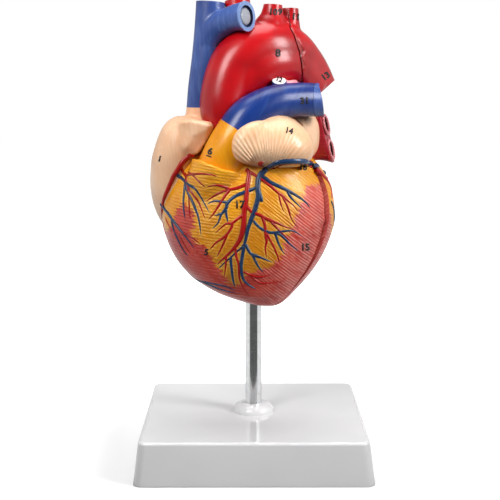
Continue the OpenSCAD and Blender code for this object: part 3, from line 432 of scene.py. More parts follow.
def blob(slices, square=SQUARE, inset=0.0, points=140, steps=7):
    """Skin over horizontal outlines."""
    s = smooth(slices, steps)
    angle = np.linspace(0, 2 * math.pi, points, endpoint=False)
    c = np.sign(np.cos(angle)) * np.abs(np.cos(angle)) ** (2 / square)
    d = np.sign(np.sin(angle)) * np.abs(np.sin(angle)) ** (2 / square)
    x = (s[:, 1] + s[:, 2])[:, None] / 2 + ((s[:, 2] - s[:, 1])[:, None] / 2 - inset) * c
    y = (s[:, 3] + s[:, 4])[:, None] / 2 + ((s[:, 4] - s[:, 3])[:, None] / 2 - inset) * d
    z = np.repeat(s[:, 0][:, None], points, axis=1)
    return skin("blob", np.stack([x, y, z], axis=2))


def front_slices():
    """The front half ends short of the rim on the right."""
    rows = []
    for s in VENTRICLES:
        share = max(0, min(1, (s[0] - 8) / 36, (96 - s[0]) / 20))
        rows.append([s[0], s[1] + 0.3 * RIM_W * share, s[2] - RIM_W * share, s[3], s[4]])
    return rows


# ---------- the cut between the halves ----------

def turned(x=0, y=0, z=0):
    """Turn by degrees about the three axes."""
    return Euler([math.radians(a) for a in (x, y, z)]).to_matrix()


SEAM_TURN = turned(z=-SEAM_YAW) @ turned(x=-SEAM_LEAN)
SEAM_BACK = np.array(SEAM_TURN @ Vector((0, 1, 0)))
SEAM_POINT = np.array([0, SEAM_Y, SEAM_H])


def behind_seam(points):
    """Signed distance behind the cut, in heart millimetres."""
    return (points - SEAM_POINT) @ SEAM_BACK


def half_space(front):
    """All space in front of the cut or behind it, less half the gap."""
    low, high = (-2 * FAR, -SEAM_GAP / 2) if front else (SEAM_GAP / 2, 2 * FAR)
    corners = product((-FAR, FAR), (low, high), (-FAR, FAR))
    return link("half_space", [np.array(SEAM_TURN @ Vector(c)) + SEAM_POINT for c in corners], BOX_FACES)


def slab(low, high):
    """All space between two heights."""
    return link("slab", list(product((-FAR, FAR), (-FAR, FAR), (low, high))), BOX_FACES)


# ---------- mesh work ----------

def read(items, key, width=3):
    """One numeric property of all vertices or faces, as rows."""
    values = np.empty(len(items) * width)
    items.foreach_get(key, values)
    return values.reshape(-1, width)


def coords(thing):
    """The vertices in heart millimetres."""
    return read(thing.data.vertices, "co") / MM - [0, 0, HEART_Z]


def normals(thing):
    return read(thing.data.vertices, "normal")


def move_to(thing, points):
    co = (points + [0, 0, HEART_Z]) * MM
    thing.data.vertices.foreach_set("co", co.ravel())
    thing.data.update()


def bake(thing):
    """Applies the modifiers."""
    bpy.context.view_layer.update()
    done = bpy.data.meshes.new_from_object(thing.evaluated_get(bpy.context.evaluated_depsgraph_get()))
    thing.modifiers.clear()
    thing.data = done


def join(things):
    """One mesh of several, which may overlap."""
    work = bmesh.new()
    for thing in things:
        work.from_mesh(thing.data)
    work.to_mesh(things[0].data)
    work.free()
    for thing in things[1:]:
        bpy.data.objects.remove(thing)
    return things[0]


def fuse(things, voxel=0.8, relax=6):
    """One smooth skin around things that overlap."""
    thing = join(things)
    remesh = thing.modifiers.new("remesh", "REMESH")
    remesh.mode = "VOXEL"
    remesh.voxel_size = voxel * MM
    ease = thing.modifiers.new("ease", "SMOOTH")
    ease.iterations = relax
    ease.factor = 0.5
    bake(thing)
    return thing


def boolean(thing, operation, other):
    made = thing.modifiers.new("boolean", "BOOLEAN")
    made.operation = operation
    made.solver = "MANIFOLD"
    made.object = other


def cut(thing, cutters, keep=None):
    """Takes the cutters away, and keeps only what is inside keep."""
    for cutter in cutters:
        boolean(thing, "DIFFERENCE", cutter)
    if keep is not None:
        boolean(thing, "INTERSECT", keep)
    bake(thing)
    return thing


def tree_of(thing):
    """Search tree over a mesh, in metres."""
    work = bmesh.new()
    work.from_mesh(thing.data)
    tree = BVHTree.FromBMesh(work)
    work.free()
    return tree


def attribute(thing, name, values):
    layer = thing.data.attributes.new(name, "FLOAT", "POINT")
    layer.data.foreach_set("value", np.asarray(values, np.float32))


def soften(thing, angle=SOFT):
    """Smooth shading, with edges sharper than the angle kept."""
    thing.data.polygons.foreach_set("use_smooth", [True] * len(thing.data.polygons))
    thing.data.set_sharp_from_angle(angle=math.radians(angle))


def facing(thing, cutters, coats):
    """Gives outer skin, room walls and the flat cut their own paints. cutters are the rooms' forms."""
    thing.data.materials.clear()
    for coat in coats:
        thing.data.materials.append(PAINT[coat])
    work = bmesh.new()
    for cutter in cutters:
        work.from_mesh(cutter.data)
    rooms = BVHTree.FromBMesh(work)
    work.free()
    centres = read(thing.data.polygons, "center")
    depth = np.abs(behind_seam(centres / MM - [0, 0, HEART_Z]))
    facing_seam = np.abs(read(thing.data.polygons, "normal") @ SEAM_BACK) > 0.98
    flat = (np.abs(depth - SEAM_GAP / 2) < 0.06) & facing_seam
    index = np.where(flat, 2, 0).astype(np.int32)
    for i in np.flatnonzero(~flat):
        if rooms.find_nearest(Vector(centres[i]), 0.1 * MM)[0] is not None:
            index[i] = 1
    thing.data.polygons.foreach_set("material_index", index)


def recoat(thing, index, chosen):
    """Gives another paint to faces, chosen by their centre in heart millimetres and their paint so far."""
    centres = read(thing.data.polygons, "center") / MM - [0, 0, HEART_Z]
    for face, place in zip(thing.data.polygons, centres):
        if chosen(place, face.material_index):
            face.material_index = index


def piece(thing, name, body, slot, *nodes):
    """Names a finished form and hands it to its body, in place of the CAD nodes named."""
    thing.name = name
    thing.data.name = name
    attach(thing, body)
    if nodes:
        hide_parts(*nodes)


def finished(thing, cutters, coats, name, body, slot, *nodes, angle=SOFT):
    """Paints, smooths and hands over a cut form."""
    facing(thing, cutters, coats)
    soften(thing, angle)
    piece(thing, name, body, slot, *nodes)


# ---------- camera rays ----------

def camera_axes():
    """Right, up and ahead, as the camera looks."""
    ahead = Vector((math.sin(YAW) * math.cos(PITCH), math.cos(YAW) * math.cos(PITCH), -math.sin(PITCH)))
    right = Vector((math.cos(YAW), -math.sin(YAW), 0))
    return right, right.cross(ahead), ahead


def pixel_ray(u, v):
    right, up, ahead = camera_axes()
    return (right * (u - FRAME / 2) - up * (v - FRAME / 2) + ahead * FOCAL).normalized()


def pixels_of(points):
    """Where heart-millimetre points fall in the photograph."""
    right, up, ahead = (np.array(a) for a in camera_axes())
    away = points + [0, 0, HEART_Z] - np.array(EYE)
    depth = away @ ahead
    return FRAME / 2 + FOCAL * np.stack([away @ right / depth, -(away @ up) / depth], axis=1)


def at_depth(u, v, y):
    """Heart-millimetre point on a pixel's ray at depth y."""
    ray = pixel_ray(u, v)
    t = (y - EYE[1]) / ray.y
    return np.array([EYE[0] + t * ray.x, y, EYE[2] + t * ray.z - HEART_Z])


def plate(outlines):
    """Skin through closed pixel outlines of equally many points, each with its depth by x and height."""
    rings = []
    for outline, depth in outlines:
        ring = []
        for u, v in outline:
            place = at_depth(u, v, -40)
            place = at_depth(u, v, depth(place[0], place[2]))
            ring.append(place)
        rings.append(ring)
    return skin("plate", np.array(rings))


def prism(outline, front, back):
    """Region behind a pixel outline, between two depths."""
    return plate([(outline, lambda x, h: front), (outline, lambda x, h: back)])


def shrunk(outline, share):
    points = np.array(outline, float)
    centre = points.mean(axis=0)
    return (centre + (points - centre) * share).tolist()


def hit(tree, u, v):
    """Where a pixel's ray meets the surface, and the surface's normal there."""
    place, normal = tree.ray_cast(Vector(EYE) * MM, pixel_ray(u, v))[:2]
    return place, normal


# ---------- relief vessels ----------

def swept(samples, widths, flat=0.9, sink=0.06, points=12):
    """Tapered cord along surface samples, each a place and a normal in metres."""
    places, ups = (np.array(rows) for rows in zip(*samples))
    for _ in range(4):
        ups[1:-1] = (ups[:-2] + 2 * ups[1:-1] + ups[2:]) / 4
        places[1:-1] = (places[:-2] + 2 * places[1:-1] + places[2:]) / 4
    ups = unit(ups)
    dirs = unit(np.gradient(places, axis=0))
    across = unit(np.cross(dirs, ups))
    ups = np.cross(across, dirs)
    angle = np.linspace(0, 2 * math.pi, points, endpoint=False)
    radius = np.asarray(widths)[:, None, None] / 2
    centre = places - ups * np.asarray(widths)[:, None] * sink
    ring = np.cos(angle)[None, :, None] * across[:, None] + flat * np.sin(angle)[None, :, None] * ups[:, None]
    rings = centre[:, None] + radius * ring
    return skin("cord", rings / MM - [0, 0, HEART_Z])


def routes_on(tree, routes, spots):
    """Cords along pixel routes. Adds the samples' places and half widths to spots."""
    cords = []
    for route, first, middle, last in routes:
        keys = smooth(route, 8)
        samples = []
        share = []
        for i, (u, v) in enumerate(keys):
            place, normal = hit(tree, u, v)
            if place is not None and place.y < FRONT_LIMIT:
                samples.append((np.array(place), np.array(normal)))
                share.append(i / (len(keys) - 1))
        if len(samples) < SHORTEST:
            continue
        widths = np.interp(share, [0, 0.6, 1], [first, middle, last]) * RELIEF_WIDER * PIXEL * MM
        widths[-4:] *= [0.9, 0.7, 0.5, 0.2]
        widths[:2] *= [0.6, 0.9]
        spots.extend((s[0], w / 2) for s, w in zip(samples, widths))
        cords.append(swept(samples, widths))
    return cords


def back_routes_on(tree, routes, radius, spots):
    """Cords over the back, from x and height."""
    cords = []
    for route, share in routes:
        keys = smooth(route, 10)
        samples = []
        for x, h in keys:
            start = Vector((x, 120, h + HEART_Z)) * MM
            place, normal = tree.ray_cast(start, Vector((0, -1, 0)))[:2]
            if place is not None:
                samples.append((np.array(place), np.array(normal)))
        widths = 2 * radius * share * MM * np.linspace(1, 0.4, len(samples))
        widths[-3:] *= [0.8, 0.6, 0.3]
        spots.extend((s[0], w / 2) for s, w in zip(samples, widths))
        cords.append(swept(samples, widths))
    return cords


def round_route_on(tree, angles, heights, widths, spots):
    """Cord around the side, between two angles about the ventricles' middle, in degrees from the right."""
    samples = []
    for step in range(25):
        angle = math.radians(np.interp(step, (0, 24), angles))
        h = np.interp(step, (0, 24), heights)
        out = Vector((math.cos(angle), math.sin(angle), 0))
        start = Vector((0, -12, h + HEART_Z)) * MM + out * 0.12
        place, normal = tree.ray_cast(start, -out)[:2]
        if place is not None:
            samples.append((np.array(place), np.array(normal)))
    thick = np.linspace(widths[0], widths[1], len(samples)) * MM
    thick[:2] *= [0.6, 0.9]
    spots.extend((s[0], w / 2) for s, w in zip(samples, thick))
    return swept(samples, thick)


def near_vessels(thing, spots):
    """Distance from each vertex to the nearest relief vessel's side, in millimetres."""
    lookup = KDTree(len(spots))
    for i, (place, _) in enumerate(spots):
        lookup.insert(Vector(place), i)
    lookup.balance()
    values = []
    for vertex in thing.data.vertices:
        _, i, distance = lookup.find(vertex.co)
        values.append(min(20.0, (distance - spots[i][1]) / MM))
    return np.array(values)


def inside_by(points, outline):
    """Signed distance of pixels to an outline, positive inside."""
    a = np.array(outline, float)
    b = np.roll(a, -1, axis=0)
    best = np.full(len(points), 1e9)
    crossings = np.zeros(len(points), int)
    for p, q in zip(a, b):
        edge = q - p
        t = np.clip(((points - p) @ edge) / (edge @ edge), 0, 1)
        best = np.minimum(best, np.linalg.norm(points - p - t[:, None] * edge, axis=1))
        over = (p[1] > points[:, 1]) != (q[1] > points[:, 1])
        height = points[:, 1] - p[1]
        with np.errstate(divide="ignore", invalid="ignore"):
            x = p[0] + edge[0] * height / edge[1]
        crossings += over & (points[:, 0] < x)
    return np.where(crossings % 2 == 1, best, -best)


# ---------- paints ----------

def new_node(tree, kind, **values):
    made = tree.nodes.new("ShaderNode" + kind)
    for key, value in values.items():
        if key in made.inputs:
            made.inputs[key].default_value = value
        else:
            setattr(made, key, value)
    return made


def feed(tree, socket, value):
    """Joins an output to a socket, or sets the socket to a number or a colour."""
    if isinstance(value, tuple):
        socket.default_value = (*value, 1)
    elif isinstance(value, (int, float)):
        socket.default_value = value
    else:
        tree.links.new(value, socket)


def filled(tree, kind, pairs, **values):
    """A node with some of its sockets fed."""
    made = new_node(tree, kind, **values)
    for key, value in pairs:
        feed(tree, made.inputs[key], value)
    return made


def maths(tree, operation, a, b):
    return filled(tree, "Math", ((0, a), (1, b)), operation=operation).outputs["Value"]


def ramp(tree, value, low, high, first=0.0, last=1.0):
    """Straight-line remap that stays between its two ends."""
    ends = (("From Min", low), ("From Max", high), ("To Min", first), ("To Max", last), ("Value", value))
    return filled(tree, "MapRange", ends, clamp=True).outputs["Result"]


def mixed(tree, share, first, second):
    """Two shaders, mixed."""
    return filled(tree, "MixShader", ((0, share), (1, first), (2, second))).outputs[0]


SPECULAR = 0.35


class Coat:
    """A painted surface, whose nodes are added and joined step by step. Lengths are in millimetres."""

    def __init__(self, name, roughness=0.35, gloss=0.2, gloss_roughness=0.16, metallic=0.0):
        self.material = bpy.data.materials.new(name)
        self.material.use_nodes = True
        self.tree = self.material.node_tree
        self.shader = self.tree.nodes["Principled BSDF"]
        for key, value in (("Roughness", roughness), ("Specular IOR Level", SPECULAR), ("Coat Weight", gloss),
                           ("Coat Roughness", gloss_roughness), ("Metallic", metallic)):
            self.shader.inputs[key].default_value = value
        self.place = new_node(self.tree, "TexCoord").outputs["Object"]
        self.relief = None

    def node(self, kind, pairs=(), **values):
        return filled(self.tree, kind, pairs, **values)

    def stretched(self, turn, pitch):
        """Coordinates turned by degrees, then scaled so that 1 is one pitch in millimetres."""
        way = self.node("Mapping", [("Vector", self.place)], Rotation=[math.radians(a) for a in turn])
        return self.node("Mapping", [("Vector", way.outputs[0])], Scale=[1000 / p for p in pitch]).outputs[0]

    def noise(self, pitch, turn=(0, 0, 0), detail=3.0, sharp=0.55, warp=0.0):
        pitch = pitch if isinstance(pitch, tuple) else (pitch, pitch, pitch)
        return self.node("TexNoise", [("Vector", self.stretched(turn, pitch))], Scale=1.0, Detail=detail,
                         Roughness=sharp, Distortion=warp).outputs["Fac"]

    def combed(self, turn, pitch, bend):
        """Fine carved lines, one pitch apart in millimetres, slightly wavy."""
        width = pitch * 20 / (2 * math.pi)
        vector = self.stretched(turn, (width, width, width))
        made = self.node("TexWave", [("Vector", vector), ("Detail Scale", 0.3)], Scale=1.0, Distortion=bend,
                         Detail=2.0, bands_direction="Z")
        return made.outputs["Fac"]

    def remap(self, value, low, high, first=0.0, last=1.0):
        return ramp(self.tree, value, low, high, first, last)

    def maths(self, operation, a, b):
        return maths(self.tree, operation, a, b)

    def between(self, share, a, b):
        return self.node("Mix", ((0, share), (2, a), (3, b)), data_type="FLOAT").outputs[0]

    def blend(self, share, a, b):
        return self.node("Mix", ((0, share), (6, a), (7, b)), data_type="RGBA").outputs[2]

    def value(self, name):
        return self.node("Attribute", attribute_name=name).outputs["Fac"]

    def bump(self, height, depth):
        """Relief of the given depth in millimetres, on top of the relief so far."""
        made = self.node("Bump", [("Height", height)], Strength=1.0, Distance=depth * MM)
        if self.relief is not None:
            feed(self.tree, made.inputs["Normal"], self.relief)
        self.relief = made.outputs["Normal"]

    def finish(self, colour, roughness=None):
        feed(self.tree, self.shader.inputs["Base Color"], colour)
        for key, value in (("Roughness", roughness), ("Normal", self.relief)):
            if value is not None:
                feed(self.tree, self.shader.inputs[key], value)
        return self.material


def srgb(r, g, b):
    """Linear colour from 0-255 display values."""
    return tuple(((c / 255 + 0.055) / 1.055) ** 2.4 if c > 10 else c / 255 / 12.92 for c in (r, g, b))


def brushed(name, base, shade, light, turn=(0, 0, 0), pitch=(12, 12, 0.9), lines=0.12, depth=0.1, rough=0.36):
    """Hand-painted vinyl: soft patches of shade, brush lines and pores."""
    base, shade, light = (srgb(*c) for c in (base, shade, light))
    coat = Coat(name, roughness=rough)
    patches = coat.noise(22.0, detail=2.0)
    streaks = coat.noise(pitch, turn=turn, detail=4.0, sharp=0.6)
    pores = coat.noise(0.5, detail=2.0)
    colour = coat.blend(coat.remap(patches, 0.38, 0.72), base, shade)
    colour = coat.blend(coat.remap(streaks, 0.5, 0.75, 0, lines * 3), colour, light)
    coat.bump(streaks, depth)
    coat.bump(pores, 0.03)
    return coat.finish(colour, coat.remap(patches, 0.3, 0.7, rough - 0.06, rough + 0.08))


def fat_and_muscle(name):
    """Yellow fat over red muscle, with a ragged edge between them, painted shade over its lower right and a
    painted highlight on the raised beds along the vessels.
    """
    coat = Coat(name, roughness=0.34)
    side = coat.value("side")
    slant = coat.noise((9, 9, 0.75), turn=(0, -38, 0), detail=4.0, sharp=0.6, warp=0.4)
    level = coat.noise((7, 7, 0.8), turn=(0, -8, 0), detail=4.0, sharp=0.6, warp=0.4)
    fibre = coat.between(coat.remap(side, 0.3, 0.7), level, slant)
    combed = coat.between(coat.remap(side, 0.3, 0.7), coat.combed((0, -8, 0), 1.7, 3.0),
                          coat.combed((0, -40, 0), 1.4, 2.0))
    broken = coat.remap(coat.noise((9, 9, 2), turn=(0, -40, 0)), 0.36, 0.52)
    combed = coat.maths("MULTIPLY", combed, broken)
    patches = coat.noise(16.0, detail=3.0)
    yellow = coat.blend(coat.remap(patches, 0.35, 0.7), srgb(236, 158, 14), srgb(212, 124, 4))
    yellow = coat.blend(coat.remap(fibre, 0.54, 0.72, 0, 0.35), yellow, srgb(246, 190, 60))
    yellow = coat.blend(coat.maths("MULTIPLY", combed, 0.22), yellow, srgb(250, 204, 92))
    # painted shade: the fat darker towards the lower right of the front, where less light falls
    yellow = coat.blend(coat.remap(coat.value("fat_low"), 0, 1, 0, 0.6), yellow, srgb(170, 92, 2))
    red = coat.blend(coat.remap(patches, 0.35, 0.7), srgb(204, 62, 46), srgb(168, 34, 30))
    hem = coat.remap(side, 0.45, 1.0, 0.14, 0.62)
    pale = coat.maths("MULTIPLY", coat.maths("MAXIMUM", combed, coat.remap(fibre, 0.52, 0.7, 0, 0.6)), hem)
    red = coat.blend(pale, red, srgb(236, 160, 146))
    edge = coat.maths("ADD", coat.value("fat"), coat.remap(fibre, 0.3, 0.7, -0.32, 0.32))
    colour = coat.blend(coat.remap(edge, 0.46, 0.54), red, yellow)
    near = coat.value("near")
    # painted highlight: paler yellow on the raised beds beside the vessels, where they catch the light
    ridge = coat.maths("MULTIPLY", coat.remap(near, 0.15, 1.0, 1, 0), coat.remap(edge, 0.3, 0.6))
    colour = coat.blend(coat.maths("MULTIPLY", ridge, 0.4), colour, srgb(250, 206, 90))
    coat.bump(combed, 0.16)
    coat.bump(fibre, 0.3)
    coat.bump(coat.noise(0.6, detail=2.0), 0.03)
    return coat.finish(colour, coat.remap(patches, 0.3, 0.7, 0.28, 0.4))


def glossy_white(name):
    """White moulded plastic, very slightly uneven."""
    coat = Coat(name, roughness=0.16, gloss=0.5, gloss_roughness=0.05)
    waves = coat.noise(30.0, detail=1.0)
    grain = coat.noise(0.8, detail=2.0)
    coat.bump(waves, 0.02)
    coat.bump(grain, 0.006)
    colour = coat.blend(coat.remap(waves, 0.4, 0.7), (0.86, 0.86, 0.865), (0.83, 0.83, 0.84))
    return coat.finish(colour, coat.remap(grain, 0.3, 0.7, 0.12, 0.2))


def steel(name, shade, drawn=(0.5, 0.5, 40), rough=0.22):
    """Polished metal with faint drawn lines and scuffs."""
    coat = Coat(name, roughness=rough, metallic=1.0, gloss=0.0)
    lines = coat.noise(drawn, detail=3.0)
    scuffs = coat.noise(6.0, detail=4.0, sharp=0.7)
    coat.bump(lines, 0.006)
    colour = coat.blend(coat.remap(scuffs, 0.4, 0.7), shade, tuple(0.82 * c for c in shade))
    return coat.finish(colour, coat.remap(lines, 0.3, 0.7, rough - 0.05, rough + 0.08))


def room_wall(name, base, hollow_shade):
    """Inside of a chamber: netted muscle cords, painted, with painted shade in the hollows between them."""
    coat = Coat(name, roughness=0.42)
    net = [("Vector", coat.stretched((20, 15, 0), (4.5, 4.5, 9)))]
    cords = coat.node("TexVoronoi", net, Scale=1.0, feature="SMOOTH_F1")
    # painted shade: darker towards the hollows between the cords
    shade = coat.remap(cords.outputs["Distance"], 0.1, 0.7)
    colour = coat.blend(shade, base, hollow_shade)
    colour = coat.blend(coat.remap(coat.noise(5.0), 0.45, 0.7, 0, 0.3), colour, srgb(232, 180, 160))
    coat.bump(shade, -0.8)
    coat.bump(coat.noise(0.7), 0.04)
    return coat.finish(colour)


def flat_ink(name, colour):
    """Matt print, a little worn."""
    coat = Coat(name, roughness=0.5, gloss=0.0)
    coat.bump(coat.noise(0.4), 0.01)
    worn = coat.remap(coat.noise(0.6, detail=4.0), 0.55, 0.8, 0, 0.35)
    return coat.finish(coat.blend(worn, colour, tuple(min(1, c + 0.12) for c in colour)))


def scalloped(name):
    """Tan auricle with ribs that fan out, with painted highlight on their crests and painted shade in their
    troughs.
    """
    coat = Coat(name, roughness=0.34)
    wave = coat.maths("SINE", coat.value("fan"), 0.0)
    fine = coat.noise((1.6, 1.6, 12), turn=(0, 15, 0), detail=3.0)
    patches = coat.noise(16.0, detail=2.0)
    base = coat.blend(coat.remap(patches, 0.35, 0.7), srgb(236, 194, 154), srgb(224, 172, 130))
    # painted highlight: paler on the crests of the ribs
    share = coat.maths("MULTIPLY", coat.remap(wave, 0.1, 0.9, 0, 1), coat.value("share"))
    colour = coat.blend(coat.maths("MULTIPLY", share, 0.3), base, srgb(254, 228, 200))
    # painted shade: darker in the troughs between the ribs
    low = coat.maths("MULTIPLY", coat.remap(wave, -0.95, -0.1, 1, 0), coat.value("share"))
    colour = coat.blend(coat.maths("MULTIPLY", low, 0.45), colour, srgb(206, 134, 86))
    colour = coat.blend(coat.remap(fine, 0.5, 0.75, 0, 0.2), colour, srgb(250, 224, 196))
    coat.bump(coat.maths("MULTIPLY", wave, coat.value("share")), 0.16)
    coat.bump(fine, 0.08)
    return coat.finish(colour)


def arterial(name):
    """Crimson arch with a rough, duller strip along the cut."""
    coat = Coat(name, roughness=0.3)
    patches = coat.noise(20.0, detail=2.0)
    grain = coat.noise(1.2, detail=3.0)
    rough = coat.noise((1.4, 1.4, 3), detail=5.0, sharp=0.7)
    colour = coat.blend(coat.remap(patches, 0.35, 0.7), srgb(186, 8, 18), srgb(150, 3, 12))
    edge = coat.maths("ADD", coat.value("torn"), coat.remap(rough, 0.3, 0.7, -0.2, 0.2))
    torn = coat.remap(edge, 0.45, 0.55)
    dull = coat.blend(coat.remap(rough, 0.4, 0.6), srgb(112, 14, 18), srgb(172, 50, 46))
    colour = coat.blend(torn, colour, dull)
    coat.bump(coat.maths("MULTIPLY", rough, torn), 0.4)
    coat.bump(grain, 0.03)
    return coat.finish(colour, coat.remap(torn, 0, 1, 0.3, 0.5))


PAINT = {
    "fat": fat_and_muscle("fat_over_muscle"),
    "tan": brushed("atrium_tan", (242, 198, 160), (230, 172, 130), (252, 226, 200), turn=(0, 8, 0),
                   pitch=(0.8, 0.8, 14), lines=0.14, depth=0.2, rough=0.36),
    "auricle": scalloped("auricle_tan"),
    "crimson": arterial("artery_crimson"),
    "blue": brushed("vein_blue", (62, 90, 156), (42, 62, 124), (108, 136, 192), turn=(0, 4, 0),
                    pitch=(2, 2, 22), lines=0.12, depth=0.05, rough=0.34),
    "navy": brushed("artery_navy", (20, 54, 128), (10, 36, 100), (60, 98, 164), turn=(0, 60, 0),
                    pitch=(16, 16, 2.2), lines=0.1, depth=0.05, rough=0.3),
    "root": brushed("root_yellow", (234, 152, 6), (206, 118, 2), (246, 188, 60), turn=(0, 18, 0),
                    pitch=(1.2, 1.2, 16), lines=0.12, depth=0.1, rough=0.36),
    "coronary": brushed("coronary_red", (170, 10, 8), (142, 4, 6), (208, 52, 34), lines=0.1, depth=0.04,
                        rough=0.3),
    "dark_vein": brushed("heart_vein_blue", (24, 54, 92), (12, 34, 68), (80, 116, 156), lines=0.1,
                         depth=0.04, rough=0.28),
    "lung_vein": brushed("lung_vein_red", (166, 28, 44), (140, 16, 32), (206, 84, 92), lines=0.12,
                         depth=0.06, rough=0.34),
    "pale_blue": brushed("pale_blue_rim", (120, 146, 196), (94, 122, 176), (176, 194, 224), lines=0.12,
                         rough=0.3),
    "ligament": brushed("ligament_pink", (226, 150, 158), (206, 118, 128), (246, 206, 208), lines=0.14,
                        rough=0.36),
    # painted highlight: the raised rims of the lung veins pale pink over their dark red
    "pale_rim": brushed("pale_rim", (212, 128, 132), (190, 92, 100), (240, 190, 190), lines=0.1,
                        depth=0.06),
    "dull_red": brushed("cut_red", (166, 40, 40), (142, 26, 28), (196, 84, 78), lines=0.16, depth=0.12,
                        rough=0.5),
    "lumen": brushed("dark_lumen", (72, 40, 46), (52, 26, 32), (96, 60, 64), lines=0.1, rough=0.5),
    "blue_lumen": brushed("blue_lumen", (30, 44, 84), (20, 30, 62), (60, 78, 120), lines=0.1, rough=0.5),
    "red_lumen": brushed("red_lumen", (120, 22, 28), (90, 12, 18), (160, 60, 60), lines=0.1, rough=0.5),
    # second colours of the room walls: painted shade in the hollows between the cords
    "ventricle_room": room_wall("ventricle_room", srgb(214, 120, 104), srgb(150, 52, 48)),
    "atrium_room": room_wall("atrium_room", srgb(232, 186, 160), srgb(190, 120, 100)),
    "muscle_cut": brushed("muscle_cut", (196, 72, 62), (170, 48, 44), (226, 140, 120), turn=(0, 30, 0),
                          pitch=(9, 9, 1.1), lines=0.2, depth=0.12, rough=0.42),
    "atrium_cut": brushed("atrium_cut", (226, 168, 140), (206, 140, 116), (240, 200, 176), lines=0.14,
                          rough=0.42),
    "valve": brushed("valve_cream", (240, 226, 204), (226, 202, 178), (252, 244, 230), lines=0.14,
                     depth=0.1),
    "papillary": brushed("papillary_red", (196, 84, 70), (170, 60, 52), (224, 136, 118),
                         pitch=(1, 1, 12), lines=0.18, depth=0.15),
    "white": glossy_white("stand_white"),
    "post": steel("post_steel", (0.78, 0.79, 0.8), rough=0.13),
    "screw": steel("screw_steel", (0.5, 0.51, 0.52), drawn=(2, 2, 2), rough=0.3),
    "nickel": steel("magnet_nickel", (0.7, 0.69, 0.66), drawn=(1, 1, 1), rough=0.18),
    "liner": brushed("liner_ivory", (226, 218, 198), (214, 204, 182), (240, 234, 220), lines=0.06),
    "disc": brushed("disc_grey", (156, 160, 170), (138, 142, 152), (190, 192, 200), lines=0.08, rough=0.3),
    "tag": flat_ink("tag_white", srgb(244, 240, 238)),
    "ink": flat_ink("ink_black", srgb(24, 20, 22)),
}


CAD_COATS = {
    "white": ("base_shell", "post_flange"),
    "post": ("post",),
    "screw": ("post_washer", "post_screw"),
    "liner": ("rod_socket",),
    "nickel": ("rear_magnets", "front_magnets"),
    "valve": ("mitral_valve", "tricuspid_valve", "aortic_valve", "pulmonary_valve", "chordae_tendineae"),
}


# ---------- forms ----------

def chambers():
    """Rooms and bores inside both halves."""
    socket = round_bar([0, 0, -10], [0, 0, SOCKET_TOP + 9], SOCKET_R + 4.5)
    right = cut(blob(RIGHT_CAVITY, 2.1, steps=5), [blob(LEFT_CAVITY, 2, -9, steps=5), socket])
    rings = [valve_ring(MITRAL, MITRAL_TILT, 20), valve_ring(TRICUSPID, TRICUSPID_TILT, 24)]
    bores = [bore(AORTA), bore(PULMONARY[:5])]
    return [blob(LEFT_CAVITY, 2, steps=5), right, *rings, *bores]


def valve_ring(valve, tilt, tall):
    """Round way through a valve's ring."""
    centre = np.array(valve[:3])
    way = np.array(turned(*tilt) @ Vector((0, 0, 1))) * tall / 2
    return round_bar(centre - way, centre + way, valve[3] + 0.1)


def clear(things):
    for thing in things:
        bpy.data.objects.remove(thing)


FRONT = half_space(True)
REAR = half_space(False)
ROOMS = chambers()


def groove(points, path, width, depth):
    """Soft furrow below a pixel route."""
    away = np.full(len(points), 1e9)
    for p, q in zip(path[:-1], path[1:]):
        p, q = np.array(p), np.array(q)
        t = np.clip(((points - p) @ (q - p)) / ((q - p) @ (q - p)), 0, 1)
        away = np.minimum(away, np.linalg.norm(points - p - t[:, None] * (q - p), axis=1))
    return -depth * np.exp(-((away / width) ** 2))


def conus():
    """Outflow part of the right ventricle, which ends in a lip before the root of the pulmonary trunk."""
    form = vessel(CONUS, points=64)
    above = prism(CONUS_TOP, -75, -15)
    made = cut(form, [above])
    clear([above])
    return made


def ventricles(front):
    """One half of the ventricles' shell; the front half gets the groove between the ventricles and a furrow
    along the lip of the conus.
    """
    if not front:
        return fuse([blob(VENTRICLES), vessel(SIDE_MAGNET_SEAT)], voxel=0.7, relax=4)
    form = fuse([blob(front_slices()), conus(), vessel(SIDE_MAGNET_SEAT)], voxel=0.6, relax=5)
    points = coords(form)
    seen = normals(form)[:, 1] < 0
    pixels = pixels_of(points)
    push = (groove(pixels, RED_ROUTES[0][0], 9, 1.1) + groove(pixels, LIP_LINE, 1.5, 1.2)) * seen
    move_to(form, points + normals(form) * push[:, None])
    return form


front_form = ventricles(True)
rear_form = ventricles(False)
rear_tree = tree_of(rear_form)


def auricle_flap():
    """Pointed flap of the right auricle, in front of the aorta's left side."""
    def front(x, h):
        return -36.2 - 0.3 * (x + 36) + 0.075 * min(0, x + 36) ** 2 - 0.02 * abs(h - 95)

    crest = [(179, 125), (183, 121.4), (191, 120.4), (207.5, 124.2), (209.8, 126), (206, 128.8), (192, 136),
             (187.5, 146), (183, 149), (180, 142)]
    edge = [(175, 124), (179, 119.6), (190, 118.2), (211.4, 121.8), (214.2, 125.4), (212.8, 130.5),
            (206, 142), (198.4, 153.8), (185, 157), (177, 146)]
    return plate([
        (crest, front),
        (edge, lambda x, h: front(x, h) + 4.2),
        (edge, lambda x, h: front(x, h) + 8),
        (shrunk(edge, 0.9), lambda x, h: front(x, h) + 10),
    ])


def right_atrium_form():
    return fuse([blob(RIGHT_ATRIUM, 2.3), vessel(CAVA), auricle_flap()], voxel=0.65, relax=14)


